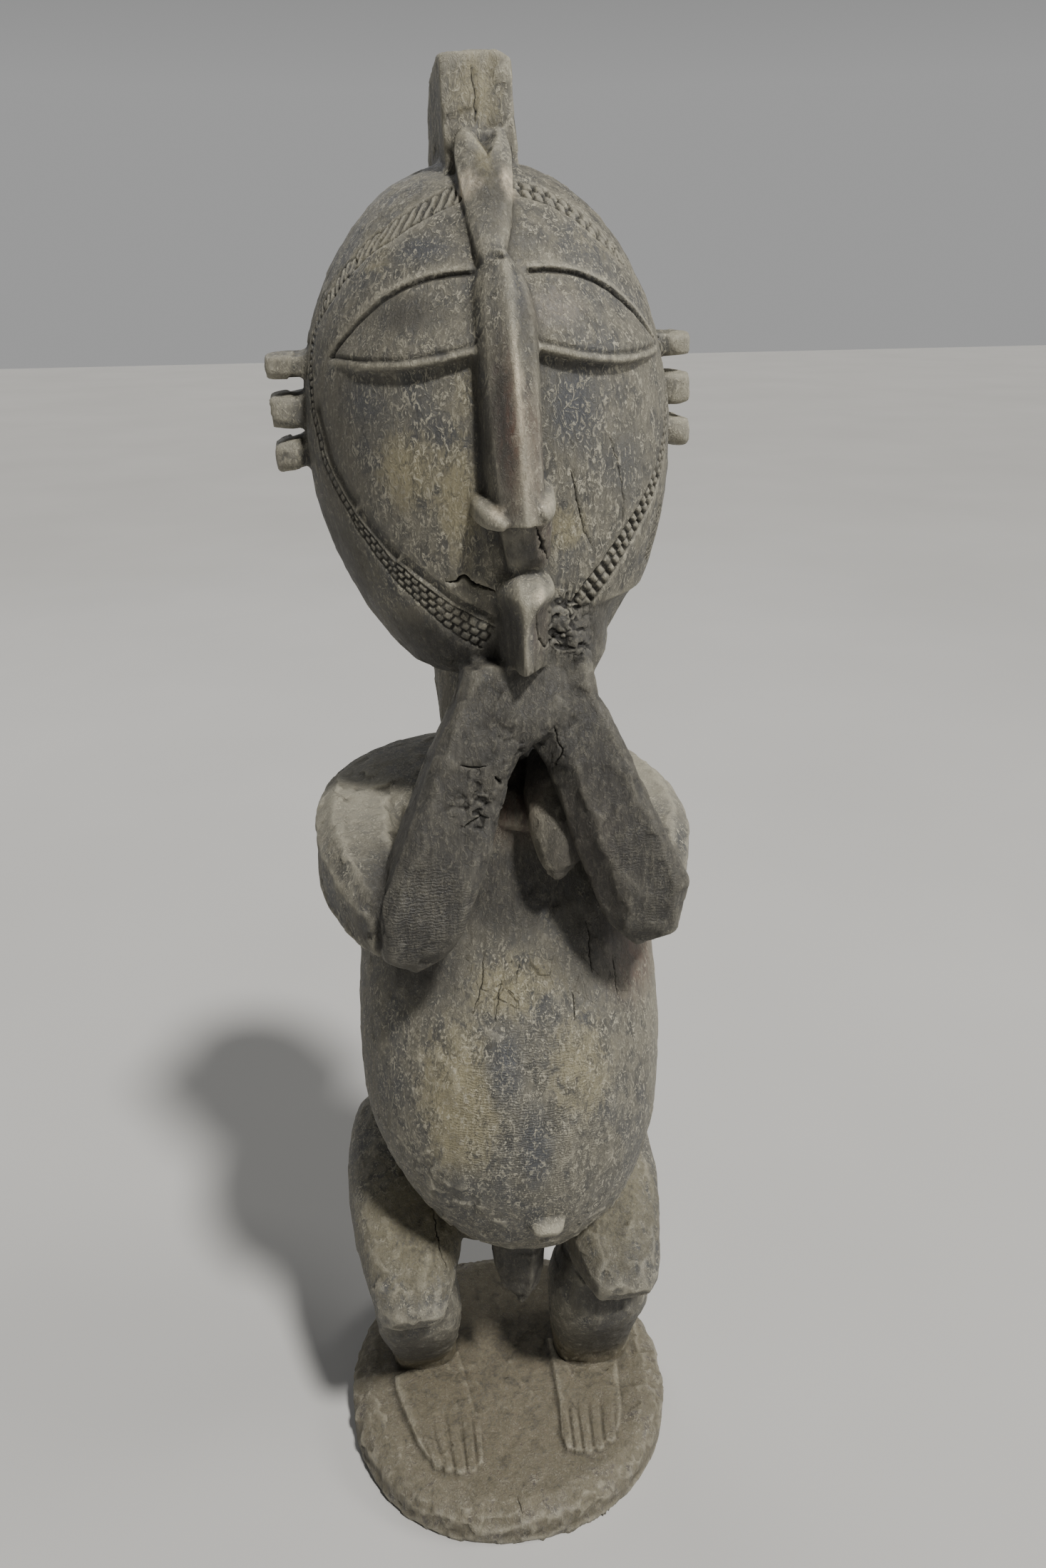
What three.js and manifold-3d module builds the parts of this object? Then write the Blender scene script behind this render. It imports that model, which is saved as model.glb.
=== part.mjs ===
// A standing figure with a large shield face, carved from one log together with its round base.
// Millimetres, +Z up, the figure faces -Y, and the origin is the centre of the base's underside.
import * as THREE from "three";
import { mergeVertices } from "three/addons/utils/BufferGeometryUtils.js";
import Module from "manifold-3d";

const wasm = await Module();
wasm.setup();

// Driving dimensions
const HEIGHT = 1100;
const LOG_RADIUS = 148; // the trunk that the figure was cut from, seen whole in the base
const BASE_THICKNESS = 36;
const TORSO_X = 4.5; // the torso and arms stand this far to the figure's left of the base's centre
const SHOULDER_X = 0.5;
const HEAD_LEAN = THREE.MathUtils.degToRad(-1.9); // the head tips towards the figure's right
const HEAD_MIDDLE = 930; // height that the head tips about

const v = (x, y, z) => new THREE.Vector3(x, y, z);

// Shape helpers

// A closed solid skinned over rings that all hold the same number of points, with a fan at each end.
function skin(rings) {
  const count = rings[0].length;
  const positions = [];
  const faces = [];
  rings.flat().forEach((p) => positions.push(p.x, p.y, p.z));
  for (let r = 0; r + 1 < rings.length; r++) {
    for (let i = 0; i < count; i++) {
      const j = (i + 1) % count;
      const low = r * count;
      const high = low + count;
      faces.push(low + i, low + j, high + j, low + i, high + j, high + i);
    }
  }
  for (const [ring, first, turned] of [
    [rings[0], 0, true],
    [rings.at(-1), (rings.length - 1) * count, false],
  ]) {
    const middle = ring.reduce((sum, p) => sum.add(p), v(0, 0, 0)).divideScalar(count);
    const hub = positions.length / 3;
    positions.push(middle.x, middle.y, middle.z);
    for (let i = 0; i < count; i++) {
      const a = first + i;
      const b = first + ((i + 1) % count);
      faces.push(hub, turned ? b : a, turned ? a : b);
    }
  }
  const geometry = new THREE.BufferGeometry();
  geometry.setAttribute("position", new THREE.Float32BufferAttribute(positions, 3));
  geometry.setIndex(faces);
  return geometry;
}

// Catmull-Rom rows between the key rows of a table, so that a profile needs only its key sections.
function smoothRows(rows, steps) {
  const at = (i) => rows[Math.min(Math.max(i, 0), rows.length - 1)];
  const made = [];
  for (let i = 0; i + 1 < rows.length; i++) {
    for (let s = 0; s < steps; s++) {
      const t = s / steps;
      made.push(
        rows[i].map((_, k) => {
          const [a, b, c, d] = [at(i - 1)[k], at(i)[k], at(i + 1)[k], at(i + 2)[k]];
          return (
            0.5 *
            (2 * b + (c - a) * t + (2 * a - 5 * b + 4 * c - d) * t * t + (3 * b - a - 3 * c + d) * t ** 3)
          );
        }),
      );
    }
  }
  return [...made, rows.at(-1)];
}

// A point of a superellipse at an angle: power 2 is an ellipse, and more is squarer.
function superellipse(angle, power) {
  const bend = (value) => Math.sign(value) * Math.abs(value) ** (2 / power);
  return [bend(Math.cos(angle)), bend(Math.sin(angle))];
}

// A solid of level sections. A row is [height, middle x, half width, front y, back y, power].
function stack(rows, segments, steps) {
  return skin(
    smoothRows(rows, steps).map(([z, x, half, front, back, power]) => {
      const widest = (front + back) / 2;
      return Array.from({ length: segments }, (_, i) => {
        const [across, along] = superellipse((i / segments) * 2 * Math.PI, power);
        return v(x + half * across, widest + ((back - front) / 2) * along, z);
      });
    }),
  );
}

// A solid along a line of stations. A station is [x, y, z, half width, half depth, power], its width lies along
// `across`, and its section is square to the line.
function limb(stations, across, segments, steps) {
  const rows = smoothRows(stations, steps);
  const point = (row) => v(row[0], row[1], row[2]);
  return skin(
    rows.map((row, i) => {
      const along = point(rows[Math.min(i + 1, rows.length - 1)])
        .sub(point(rows[Math.max(i - 1, 0)]))
        .normalize();
      const deep = along.clone().cross(across).normalize();
      const wide = deep.clone().cross(along);
      return Array.from({ length: segments }, (_, k) => {
        const [a, b] = superellipse(((k + 0.5) / segments) * 2 * Math.PI, row[5]);
        return point(row)
          .addScaledVector(wide, a * row[3])
          .addScaledVector(deep, b * row[4]);
      });
    }),
  );
}

// A side view given as a closed line of [y, z], made into a plate that is `thick` wide about x.
function plate(outline, thick, x) {
  const shape = new THREE.Shape(outline.map(([y, z]) => new THREE.Vector2(y, z)));
  const geometry = new THREE.ExtrudeGeometry(shape, { depth: thick, bevelEnabled: false, curveSegments: 8 });
  // The shape's plane is turned so that its first axis runs along y, its second along z and its depth along x.
  geometry.applyMatrix4(new THREE.Matrix4().makeBasis(v(0, 1, 0), v(0, 0, 1), v(1, 0, 0)));
  return geometry.translate(x - thick / 2, 0, 0);
}

// Closed solids and their union

function solid(geometry) {
  const bare = geometry.clone();
  bare.deleteAttribute("normal");
  bare.deleteAttribute("uv");
  const merged = mergeVertices(bare, 1e-4);
  const triangles = new Uint32Array(merged.index.array);
  const made = () =>
    new wasm.Manifold(
      new wasm.Mesh({
        numProp: 3,
        vertProperties: merged.attributes.position.array,
        triVerts: triangles,
      }),
    );
  const first = made();
  if (first.volume() > 0) return first;
  for (let i = 0; i < triangles.length; i += 3) {
    [triangles[i + 1], triangles[i + 2]] = [triangles[i + 2], triangles[i + 1]];
  }
  return made();
}

const joined = (geometries) => geometries.map(solid).reduce((all, one) => all.add(one));

function toGeometry(manifold) {
  const mesh = manifold.getMesh();
  const geometry = new THREE.BufferGeometry();
  geometry.setAttribute("position", new THREE.BufferAttribute(mesh.vertProperties, 3));
  geometry.setIndex(new THREE.BufferAttribute(mesh.triVerts, 1));
  const flat = geometry.toNonIndexed();
  flat.computeVertexNormals();
  return flat;
}

// The round base and the two feet carved in relief on it

function base() {
  const top = BASE_THICKNESS;
  const profile = [
    [LOG_RADIUS - 4, 0],
    [LOG_RADIUS, 7],
    [LOG_RADIUS, top - 11],
    [LOG_RADIUS - 4, top - 4],
    [LOG_RADIUS - 11, top],
  ];
  const segments = 44;
  // The rim is cut by hand: it is a little square, and wanders.
  const wander = (angle) => 1 - 0.012 * Math.cos(4 * angle) + 0.005 * Math.sin(3 * angle + 0.6);
  return skin(
    profile.map(([radius, z]) =>
      Array.from({ length: segments }, (_, i) => {
        const angle = (i / segments) * 2 * Math.PI;
        const r = radius * wander(angle);
        return v(r * Math.cos(angle), r * Math.sin(angle), z);
      }),
    ),
  );
}

const TOES = 5;
const FOOT_TOP = BASE_THICKNESS + 6;
const FEET = {
  // [x, y] of the sole's corners
  right: { heelIn: [-43, 30], heelOut: [-104, 8], ballOut: [-88, -84], ballIn: [-35, -84], tipY: -108 },
  left: { heelIn: [43, 30], heelOut: [104, 0], ballOut: [93, -80], ballIn: [34, -82], tipY: -109 },
};

// A foot in low relief: a flat sole whose front edge bulges round each toe.
function foot({ heelIn, heelOut, ballOut, ballIn, tipY }) {
  const shape = new THREE.Shape();
  shape.moveTo(...heelIn);
  shape.lineTo(...heelOut);
  shape.lineTo(...ballOut);
  const edge = (i) => {
    const t = i / TOES;
    const x = ballOut[0] + (ballIn[0] - ballOut[0]) * t;
    const y = ballOut[1] + (ballIn[1] - ballOut[1]) * t;
    return [x, y + (tipY + 6 - y) * Math.sin(Math.PI * (0.14 + 0.72 * t)) ** 0.8];
  };
  for (let i = 0; i < TOES; i++) {
    const [from, to] = [edge(i), edge(i + 1)];
    const middle = [(from[0] + to[0]) / 2, (from[1] + to[1]) / 2 - 9];
    shape.lineTo(...from);
    shape.quadraticCurveTo(...middle, ...to);
  }
  shape.lineTo(...ballIn);
  shape.closePath();
  const sunk = 6;
  const geometry = new THREE.ExtrudeGeometry(shape, {
    depth: FOOT_TOP - BASE_THICKNESS + sunk,
    bevelEnabled: false,
    curveSegments: 4,
  });
  return geometry.translate(0, 0, BASE_THICKNESS - sunk);
}

// Legs: [x, y, z, half width, half depth, power] along the calf, and along the thigh from hip to knee

const RIGHT_CALF = [
  [-74, 38, 26, 30, 28, 2.8],
  [-76, 32, 60, 31, 29, 2.8],
  [-78, 2, 115, 35, 34, 2.8],
  [-79, -34, 172, 40, 36, 2.8],
  [-80, -50, 225, 36, 30, 2.8],
];
const LEFT_CALF = [
  [85, 22, 26, 36, 34, 2.8],
  [83, 16, 60, 37, 33, 2.8],
  [80, -8, 115, 40, 35, 2.8],
  [79, -34, 172, 43, 37, 2.8],
  [80, -48, 225, 40, 30, 2.8],
];
const THIGH = [
  [62, 72, 312, 22, 20, 2.4],
  [76, 58, 294, 44, 44, 2.5],
  [82, 14, 272, 49, 54, 2.6],
  [84, -36, 250, 45, 46, 2.8],
  [86, -76, 233, 34, 33, 2.8],
  [87, -95, 222, 26, 23, 2.6],
  [87, -101, 218, 19, 15, 2.4],
];

function leg(calf, side) {
  const thigh = THIGH.map(([x, ...rest]) => [side * x, ...rest]);
  return [limb(calf, v(1, 0, 0), 14, 2), limb(thigh, v(1, 0, 0), 16, 2)];
}

function pelvis() {
  return stack(
    [
      [226, TORSO_X, 44, -26, 76, 2.6],
      [246, TORSO_X, 74, -52, 98, 2.6],
      [288, TORSO_X, 99, -62, 110, 2.5],
      [334, TORSO_X, 96, -60, 100, 2.4],
      [372, TORSO_X, 90, -50, 78, 2.3],
      [404, TORSO_X, 78, -30, 58, 2.2],
    ],
    24,
    1,
  );
}

// The faceted wedge that hangs below the belly: its front is an edge, set towards the figure's left
function wedge() {
  const rows = [
    // [z, x of its right side, of its front edge and of its left side, y of the edge]
    [174, 2, 5, 8, -56],
    [190, -8, 12, 23, -62],
    [214, -14, 15, 26, -66],
    [264, -17, 15, 28, -72],
  ];
  const back = -24;
  return skin(
    rows.map(([z, right, edge, left, y]) => [
      v(right, back, z),
      v(right, y + 14, z),
      v(edge, y, z),
      v(left, y + 12, z),
      v(left, back, z),
    ]),
  );
}

// The torso: a barrel that swells into the belly

function torso() {
  return stack(
    [
      [255, 15, 24, -66, -14, 2.0],
      [268, 14, 49, -86, 8, 2.0],
      [288, 13, 71, -105, 28, 2.05],
      [320, 11, 90, -124, 50, 2.1],
      [360, 7.5, 106, -137, 76, 2.15],
      [400, TORSO_X, 114, -142, 85, 2.2],
      [450, TORSO_X, 115, -138, 87, 2.25],
      [500, TORSO_X, 112, -126, 88, 2.3],
      [550, TORSO_X, 106, -109, 90, 2.35],
      [600, TORSO_X, 96, -94, 92, 2.4],
      [645, TORSO_X, 76, -86, 80, 2.4],
    ],
    32,
    2,
  );
}

function navel() {
  const [x, y, z] = [16, -124, 334];
  return limb(
    [
      [x, y + 14, z + 4, 15, 12, 3],
      [x, y - 6, z, 14, 9.5, 3],
      [x, y - 14, z - 4, 10, 6, 3],
    ],
    v(1, 0, 0),
    8,
    1,
  );
}

// [x, y, z, half width, half depth, power] from the root to the tip
const LEFT_BREAST = [
  [20, -66, 678, 8, 12, 2],
  [22, -88, 666, 12, 17, 2],
  [24.5, -104, 645, 13, 16, 2],
  [27.5, -113, 627, 9, 10, 2],
  [30, -117, 616, 5, 5, 2],
];
const RIGHT_BREAST = LEFT_BREAST.map(([x, ...rest]) => [-x - 12, ...rest]);

const breast = (rows) => limb(rows, v(1, 0, 0), 12, 1);

// The shoulders, arms and hands, which meet under the chin

function shoulders() {
  return stack(
    [
      [552, SHOULDER_X, 88, -40, 76, 2.3],
      [580, SHOULDER_X, 115, -56, 97, 2.3],
      [606, SHOULDER_X, 127, -64, 106, 2.3],
      [630, SHOULDER_X, 123, -60, 103, 2.3],
      [648, SHOULDER_X, 100, -46, 88, 2.2],
      [660, SHOULDER_X, 58, -26, 58, 2.1],
    ],
    28,
    2,
  );
}

// [x, y, z, half width, half depth, power] for the upper arms, from the shoulder forward to the elbow
const UPPER_ARM = [
  [84, 30, 612, 40, 34, 2.6],
  [98, -20, 612, 33, 35, 3.0],
  [100, -66, 610, 28, 33, 3.4],
  [90, -104, 603, 25, 30, 3.6],
  [82, -128, 596, 17, 22, 3.0],
];
// and for the forearms, from the elbow up to the hand
const RIGHT_FOREARM = [
  [-62, -126, 571, 11, 10, 3.0],
  [-69, -125, 584, 23, 20, 3.4],
  [-65.5, -125, 608, 27.5, 24, 3.6],
  [-47.5, -122, 656, 27.5, 24, 3.6],
  [-30, -116, 706, 24, 22, 3.4],
  [-20.5, -113, 723, 24.5, 21, 3.2],
  [-15, -108, 740, 22, 20, 3.0],
  [-13, -104, 762, 17, 16, 2.8],
];
const LEFT_FOREARM = [
  [70, -126, 577, 9, 9, 3.0],
  [79, -124, 588, 24, 20, 3.4],
  [80, -123, 614, 30, 24, 3.6],
  [62, -121, 656, 27.5, 24, 3.6],
  [43, -115, 706, 24, 22, 3.4],
  [34.5, -112, 722, 25.5, 21, 3.2],
  [29.5, -107, 738, 22.5, 20, 3.0],
  [28, -103, 762, 20, 18, 2.8],
  [29, -99, 790, 18, 14, 2.6],
];

function arm(forearm, side) {
  const upper = UPPER_ARM.map(([x, ...rest]) => [SHOULDER_X + side * x, ...rest]);
  return [limb(upper, v(1, 0, 0), 12, 1), limb(forearm, v(1, 0, 0), 12, 1)];
}

// The neck, whose foot swells over the top of the chest
function neck() {
  return stack(
    [
      [630, 8, 40, -80, 52, 2.0],
      [648, 8, 44, -92, 56, 2.0],
      [664, 7, 43, -88, 56, 2.0],
      [680, 5, 41, -72, 54, 2.1],
      [704, 4, 42, -56, 54, 2.2],
      [775, 3, 46, -60, 58, 2.2],
    ],
    22,
    1,
  );
}

// A web of wood joins the two hands in front, and the left hand to the jaw and the neck behind.
function hands() {
  const front = stack(
    [
      [714, 5, 12, -127, -60, 3.0],
      [723, 6, 20, -133, -50, 3.0],
      [740, 7, 24, -127, -30, 3.0],
      [768, 8, 26, -110, -20, 3.0],
    ],
    14,
    1,
  );
  const side = stack(
    [
      [716, 20, 26, -90, -20, 2.4],
      [736, 24, 34, -96, 0, 2.4],
      [752, 27, 38, -102, 10, 2.4],
      [778, 27, 50, -108, 16, 2.4],
      [798, 27, 52, -108, 16, 2.4],
    ],
    16,
    1,
  );
  return [front, side];
}

// The head, in its own upright frame, which leans as one at the end

const HEAD = [
  [743, -2, 34, -60, 46, 2.2],
  [753, -1, 60, -92, 66, 2.3],
  [772, 0, 79, -107, 84, 2.35],
  [805, 0, 98, -114, 100, 2.4],
  [845, -0.5, 111, -117, 112, 2.4],
  [885, -1, 116, -116, 119, 2.4],
  [925, -1, 114, -112, 121, 2.35],
  [965, -1, 104, -103, 117, 2.3],
  [1003, 0, 84, -84, 104, 2.2],
  [1032, 0, 56, -54, 80, 2.1],
  [1046, 0, 24, -24, 48, 2.0],
];
const HEAD_ROWS = smoothRows(HEAD, 8);

// y of the face's surface at x and z.
function faceY(x, z) {
  let i = HEAD_ROWS.findIndex((row) => row[0] > z);
  i = Math.min(Math.max(i, 1), HEAD_ROWS.length - 1);
  const [low, high] = [HEAD_ROWS[i - 1], HEAD_ROWS[i]];
  const share = (z - low[0]) / (high[0] - low[0]);
  const [half, front, back, power] = [2, 3, 4, 5].map((k) => low[k] + (high[k] - low[k]) * share);
  const across = Math.min(Math.abs(x) / half, 0.999);
  return (front + back) / 2 + ((front - back) / 2) * (1 - across ** power) ** (1 / power);
}

function head() {
  return stack(HEAD, 32, 2);
}

// The nose: a long faceted beam whose front edge runs out from the brow to the tip
function nose() {
  // [height at the front edge, half width on its right, half width on its left, y of the edge]
  const rows = [
    [858, 14, 12, -146],
    [866, 19, 15, -146],
    [900, 21, 15, -141],
    [950, 20, 16, -130],
    [982, 17, 16, -118],
    [997, 9, 9, -104],
  ];
  return skin(
    smoothRows(rows, 2).map(([z, right, left, edge]) => {
      const root = Math.max(faceY(0, z) + 14, edge + 12);
      const side = edge + (root - edge) * 0.4;
      return [
        [0, edge],
        [0.8 * left, edge + 7],
        [left, side],
        [left, root],
        [-right, root],
        [-right, side],
        [-0.72 * right, edge + 6],
      ].map(([x, y]) => v(x, y, z));
    }),
  );
}

// The block under the nose, down to the lip
function septum() {
  return limb(
    [
      [4, -120, 868, 14, 20, 3],
      [6, -116, 846, 12, 16, 3],
      [8, -112, 828, 8, 9, 3],
    ],
    v(1, 0, 0),
    8,
    1,
  );
}

function nostril(side) {
  return limb(
    [
      [side * 22, -106, 868, 6, 6, 2],
      [side * 19, -120, 866, 8.5, 8.5, 2],
      [side * 12, -134, 862, 7.5, 7.5, 2],
      [side * 5, -143, 860, 5, 5, 2],
    ],
    v(0, 0, 1),
    10,
    1,
  );
}

// Eyes: a lens between the brow and the lower lid, whose lower edge stands out from the cheek

const EYE_INNER = 14;
const EYE_OUTER = 98;
const browZ = (t) => 989 - 45 * t ** 2.5 - 1.5 * (1 - t);
const lidZ = (t, sag) => 947.5 - sag * Math.sin(t * 0.66 * Math.PI) + 2 * t;

function eye(side) {
  const stations = 10;
  const sag = side < 0 ? 9 : 12;
  return skin(
    Array.from({ length: stations + 1 }, (_, i) => {
      const t = i / stations;
      const x = EYE_INNER + (EYE_OUTER - EYE_INNER) * t;
      const [brow, lid] = [browZ(t), lidZ(t, sag)];
      const stand = 7 * Math.sin(Math.PI * (0.18 + 0.76 * t)) ** 0.6;
      const browY = faceY(x, brow);
      const lidY = faceY(x, lid);
      return [
        [browY + 8, brow + 2],
        [browY - 2.5, brow + 1.5],
        [browY - 2, brow - 1.5],
        [(browY + lidY) / 2 - 0.5 * stand, (brow + lid) / 2],
        [lidY - stand, lid + 2],
        [lidY - stand, lid - 1.5],
        [lidY + 8, lid - 3],
      ].map(([y, z]) => v(side * x, y, z));
    }),
  );
}

// The mouth: a snout with a sloping top, over a chin whose front is an edge
function mouth() {
  const snout = limb(
    [
      [3.5, -100, 822, 20, 12, 2.2],
      [3.5, -126, 816, 17, 9, 2.4],
      [3.5, -142, 811, 12, 5.5, 2.4],
      [3.5, -148, 809, 6, 3, 2],
    ],
    v(1, 0, 0),
    14,
    1,
  );
  const [right, left, edge, back] = [-14, 18.5, -4, -90];
  const chin = skin(
    [
      [767, -142],
      [790, -143],
      [811, -145],
    ].map(([z, front]) => [
      v(right, back, z),
      v(right, -114, z),
      v(edge, front, z),
      v(left, -118, z),
      v(left, back, z),
    ]),
  );
  return [snout, chin];
}

// Each ear is three stubby fins standing out from the side of the head
function ear(side) {
  const reach = side < 0 ? 136.5 : 131;
  const fins = [
    { z: 938, tall: 7.5, drop: 0 },
    { z: 911, tall: 10.5, drop: 0 },
    { z: 885, tall: 9, drop: 4 },
  ];
  return fins.map(({ z, tall, drop }) =>
    limb(
      [
        [side * 98, 4, z + drop, 24, tall, 3.4],
        [side * (reach - 12), 2, z, 22, tall, 3.6],
        [side * (reach - 3), 2, z - 0.5 * drop, 19, tall * 0.9, 3.2],
        [side * reach, 2, z - 0.5 * drop, 16, tall * 0.66, 3],
      ],
      v(0, 1, 0),
      10,
      1,
    ),
  );
}

// The crest: a thick comb over the head, with a keel that runs down the forehead to the nose
const CREST_WIDTH = 41;
const CREST_FRONT = -34;

function crest() {
  // The top edge, from the front back and down to the nape
  const arc = Array.from({ length: 10 }, (_, i) => {
    const t = i / 10;
    return [CREST_FRONT + 154 * t, HEIGHT - 1.1 + 2 * Math.sin(Math.PI * t) - 168 * t ** 3.4];
  });
  return plate([[CREST_FRONT - 3, 1034], ...arc, [90, 930], [40, 980]], CREST_WIDTH, -0.5);
}

function keel() {
  // [height, half width, front y, back y]
  const rows = [
    [1059, 13, -38, -20],
    [1047, 16, -55, -20],
    [1030, 14.5, -72, -30],
    [1012, 11, -88, -50],
    [994, 7.5, -101, -70],
  ];
  return skin(
    rows.map(([z, half, front, back]) =>
      [
        [0, front],
        [0.75 * half, front + 2.5],
        [half, front + 7],
        [0.8 * half, back],
        [-0.8 * half, back],
        [-half, front + 7],
        [-0.75 * half, front + 2.5],
      ].map(([x, y]) => v(x, y, z)),
    ),
  );
}

function headParts() {
  const lean = new THREE.Matrix4()
    .makeTranslation(0, 0, HEAD_MIDDLE)
    .multiply(new THREE.Matrix4().makeRotationY(HEAD_LEAN))
    .multiply(new THREE.Matrix4().makeTranslation(0, 0, -HEAD_MIDDLE));
  return [
    head(),
    nose(),
    crest(),
    keel(),
    septum(),
    ...mouth(),
    ...[-1, 1].flatMap((side) => [nostril(side), eye(side), ...ear(side)]),
  ].map((geometry) => geometry.applyMatrix4(lean));
}

const carving = joined([
  base(),
  foot(FEET.right),
  foot(FEET.left),
  ...leg(RIGHT_CALF, -1),
  ...leg(LEFT_CALF, 1),
  pelvis(),
  wedge(),
  torso(),
  navel(),
  breast(RIGHT_BREAST),
  breast(LEFT_BREAST),
  shoulders(),
  ...arm(RIGHT_FOREARM, -1),
  ...arm(LEFT_FOREARM, 1),
  neck(),
  ...hands(),
  ...headParts(),
]);

const wood = new THREE.MeshStandardMaterial({ color: 0x7a7060, roughness: 0.85, metalness: 0 });
const figure = new THREE.Mesh(toGeometry(carving), wood);
figure.name = "nimba_figure";

const group = new THREE.Group();
group.add(figure);

export default group;
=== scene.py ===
# A standing figure with a large shield face, carved from one log together with its round base.
# The shapes are worked out in millimetres and go into the scene in metres. +Z is up and the figure faces -Y.
import math

import bmesh
import bpy
import numpy as np
from mathutils import Matrix, Vector, kdtree


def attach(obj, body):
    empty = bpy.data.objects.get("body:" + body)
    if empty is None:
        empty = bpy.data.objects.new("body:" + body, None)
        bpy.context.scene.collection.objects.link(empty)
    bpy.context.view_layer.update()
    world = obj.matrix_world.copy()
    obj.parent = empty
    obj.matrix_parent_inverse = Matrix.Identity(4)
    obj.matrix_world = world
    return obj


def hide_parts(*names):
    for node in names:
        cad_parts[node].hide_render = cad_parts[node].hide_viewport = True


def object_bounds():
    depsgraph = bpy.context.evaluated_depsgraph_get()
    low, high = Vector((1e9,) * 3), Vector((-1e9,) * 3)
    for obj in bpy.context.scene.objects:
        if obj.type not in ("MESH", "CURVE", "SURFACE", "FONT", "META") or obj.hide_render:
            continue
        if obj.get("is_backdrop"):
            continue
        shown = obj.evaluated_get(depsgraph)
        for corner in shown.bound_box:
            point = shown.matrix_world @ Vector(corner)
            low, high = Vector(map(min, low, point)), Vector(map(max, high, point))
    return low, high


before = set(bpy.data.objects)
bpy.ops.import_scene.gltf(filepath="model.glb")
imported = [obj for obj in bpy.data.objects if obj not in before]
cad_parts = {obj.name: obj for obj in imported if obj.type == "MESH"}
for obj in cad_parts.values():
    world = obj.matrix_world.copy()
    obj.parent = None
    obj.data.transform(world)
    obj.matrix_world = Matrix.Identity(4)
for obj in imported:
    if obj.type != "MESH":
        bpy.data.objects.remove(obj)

CAD_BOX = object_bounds()

# Driving dimensions
HEIGHT = 1100
LOG_RADIUS = 148  # the trunk that the figure was cut from, seen whole in the base
BASE_THICKNESS = 36
TORSO_X = 4.5  # the torso's middle, left of the base's centre as the figure sees it
SHOULDER_X = 0.5  # and the shoulders'
HEAD_LEAN = math.radians(-1.9)  # the head tips towards the figure's right
HEAD_MIDDLE = 930  # height that the head tips about

MM = 0.001  # metres in a millimetre
PER_METRE = 1000  # millimetres in a metre

# Mesh density, and rounds of smoothing where parts meet
VOXEL = 1.4
TRIANGLES = 190000
BLEND_ROUNDS = 90
CAVITY_ROUNDS = 10
SMOOTHING = 0.6  # share of the way that a vertex goes to its neighbours' mean in one round

ACROSS = np.array([1.0, 0.0, 0.0])


# Shape helpers


def smooth_rows(rows, steps):
    """Catmull-Rom rows between the key rows of a table, so that a profile needs only its key sections."""
    rows = np.array(rows, float)
    last = len(rows) - 1
    made = []
    for i in range(last):
        a, b, c, d = (rows[min(max(k, 0), last)] for k in (i - 1, i, i + 1, i + 2))
        for s in range(steps):
            t = s / steps
            curve = (2 * a - 5 * b + 4 * c - d) * t**2 + (3 * b - a - 3 * c + d) * t**3
            made.append(0.5 * (2 * b + (c - a) * t + curve))
    made.append(rows[last])
    return np.array(made)


def superellipse(angles, power):
    """Points of a superellipse: power 2 is an ellipse, and more is squarer."""

    def bend(value):
        return np.sign(value) * np.abs(value) ** (2 / power)

    return bend(np.cos(angles)), bend(np.sin(angles))


def cut_box(count, cut, inner_cut=None):
    """Points of a box whose corners are cut off. `cut` is the share of each half side that goes, and
    `inner_cut` is its value at the corner at -1, -1."""
    c = 1 - cut
    i = 1 - (cut if inner_cut is None else inner_cut)
    corners = [(1, -c), (1, c), (c, 1), (-c, 1), (-1, c), (-1, -i), (-i, -1), (c, -1), (1, -c)]
    places = np.linspace(0, 8, count, endpoint=False)
    x, y = np.array(corners, float).T
    return np.interp(places, np.arange(9), x), np.interp(places, np.arange(9), y)


def skin(rings):
    """A closed shape skinned over rings that all hold the same number of points."""
    rings = np.asarray(rings, float)
    count, around = rings.shape[:2]
    faces = []
    for r in range(count - 1):
        for i in range(around):
            j = (i + 1) % around
            faces.append((r * around + i, r * around + j, (r + 1) * around + j, (r + 1) * around + i))
    faces.append(tuple(reversed(range(around))))
    faces.append(tuple((count - 1) * around + i for i in range(around)))
    return rings.reshape(-1, 3), faces


def stack(rows, segments=72, steps=8):
    """A shape of level sections. A row is [height, middle x, half width, front y, back y, power]."""
    angles = np.arange(segments) / segments * 2 * math.pi
    rings = []
    for z, x, half, front, back, power in smooth_rows(rows, steps):
        across, along = superellipse(angles, power)
        y = (front + back) / 2 + (back - front) / 2 * along
        rings.append(np.stack([x + half * across, y, np.full(segments, z)], 1))
    return skin(rings)


def limb(stations, across=ACROSS, segments=40, steps=7, cut=None, inner_cut=None):
    """A shape along a line of stations. A station is [x, y, z, half width, half depth, power]: its width
    lies along `across`, and its section is square to the line. With `cut` the section is cut_box(), and the
    stations have no power."""
    rows = smooth_rows(stations, steps)
    angles = (np.arange(segments) + 0.5) / segments * 2 * math.pi
    last = len(rows) - 1
    rings = []
    for i, row in enumerate(rows):
        along = rows[min(i + steps, last), :3] - rows[max(i - steps, 0), :3]
        along /= np.linalg.norm(along)
        deep = np.cross(along, across)
        deep /= np.linalg.norm(deep)
        wide = np.cross(deep, along)
        a, b = superellipse(angles, row[5]) if cut is None else cut_box(segments, cut, inner_cut)
        rings.append(row[:3] + np.outer(a * row[3], wide) + np.outer(b * row[4], deep))
    return skin(rings)


def mirrored(rows, side):
    """The rows on the figure's left if `side` is 1, and on its right if it is -1."""
    return [[side * row[0], *row[1:]] for row in rows]


def shifted(rows, x):
    """The rows moved along x."""
    return [[row[0] + x, *row[1:]] for row in rows]


# The round base


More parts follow.
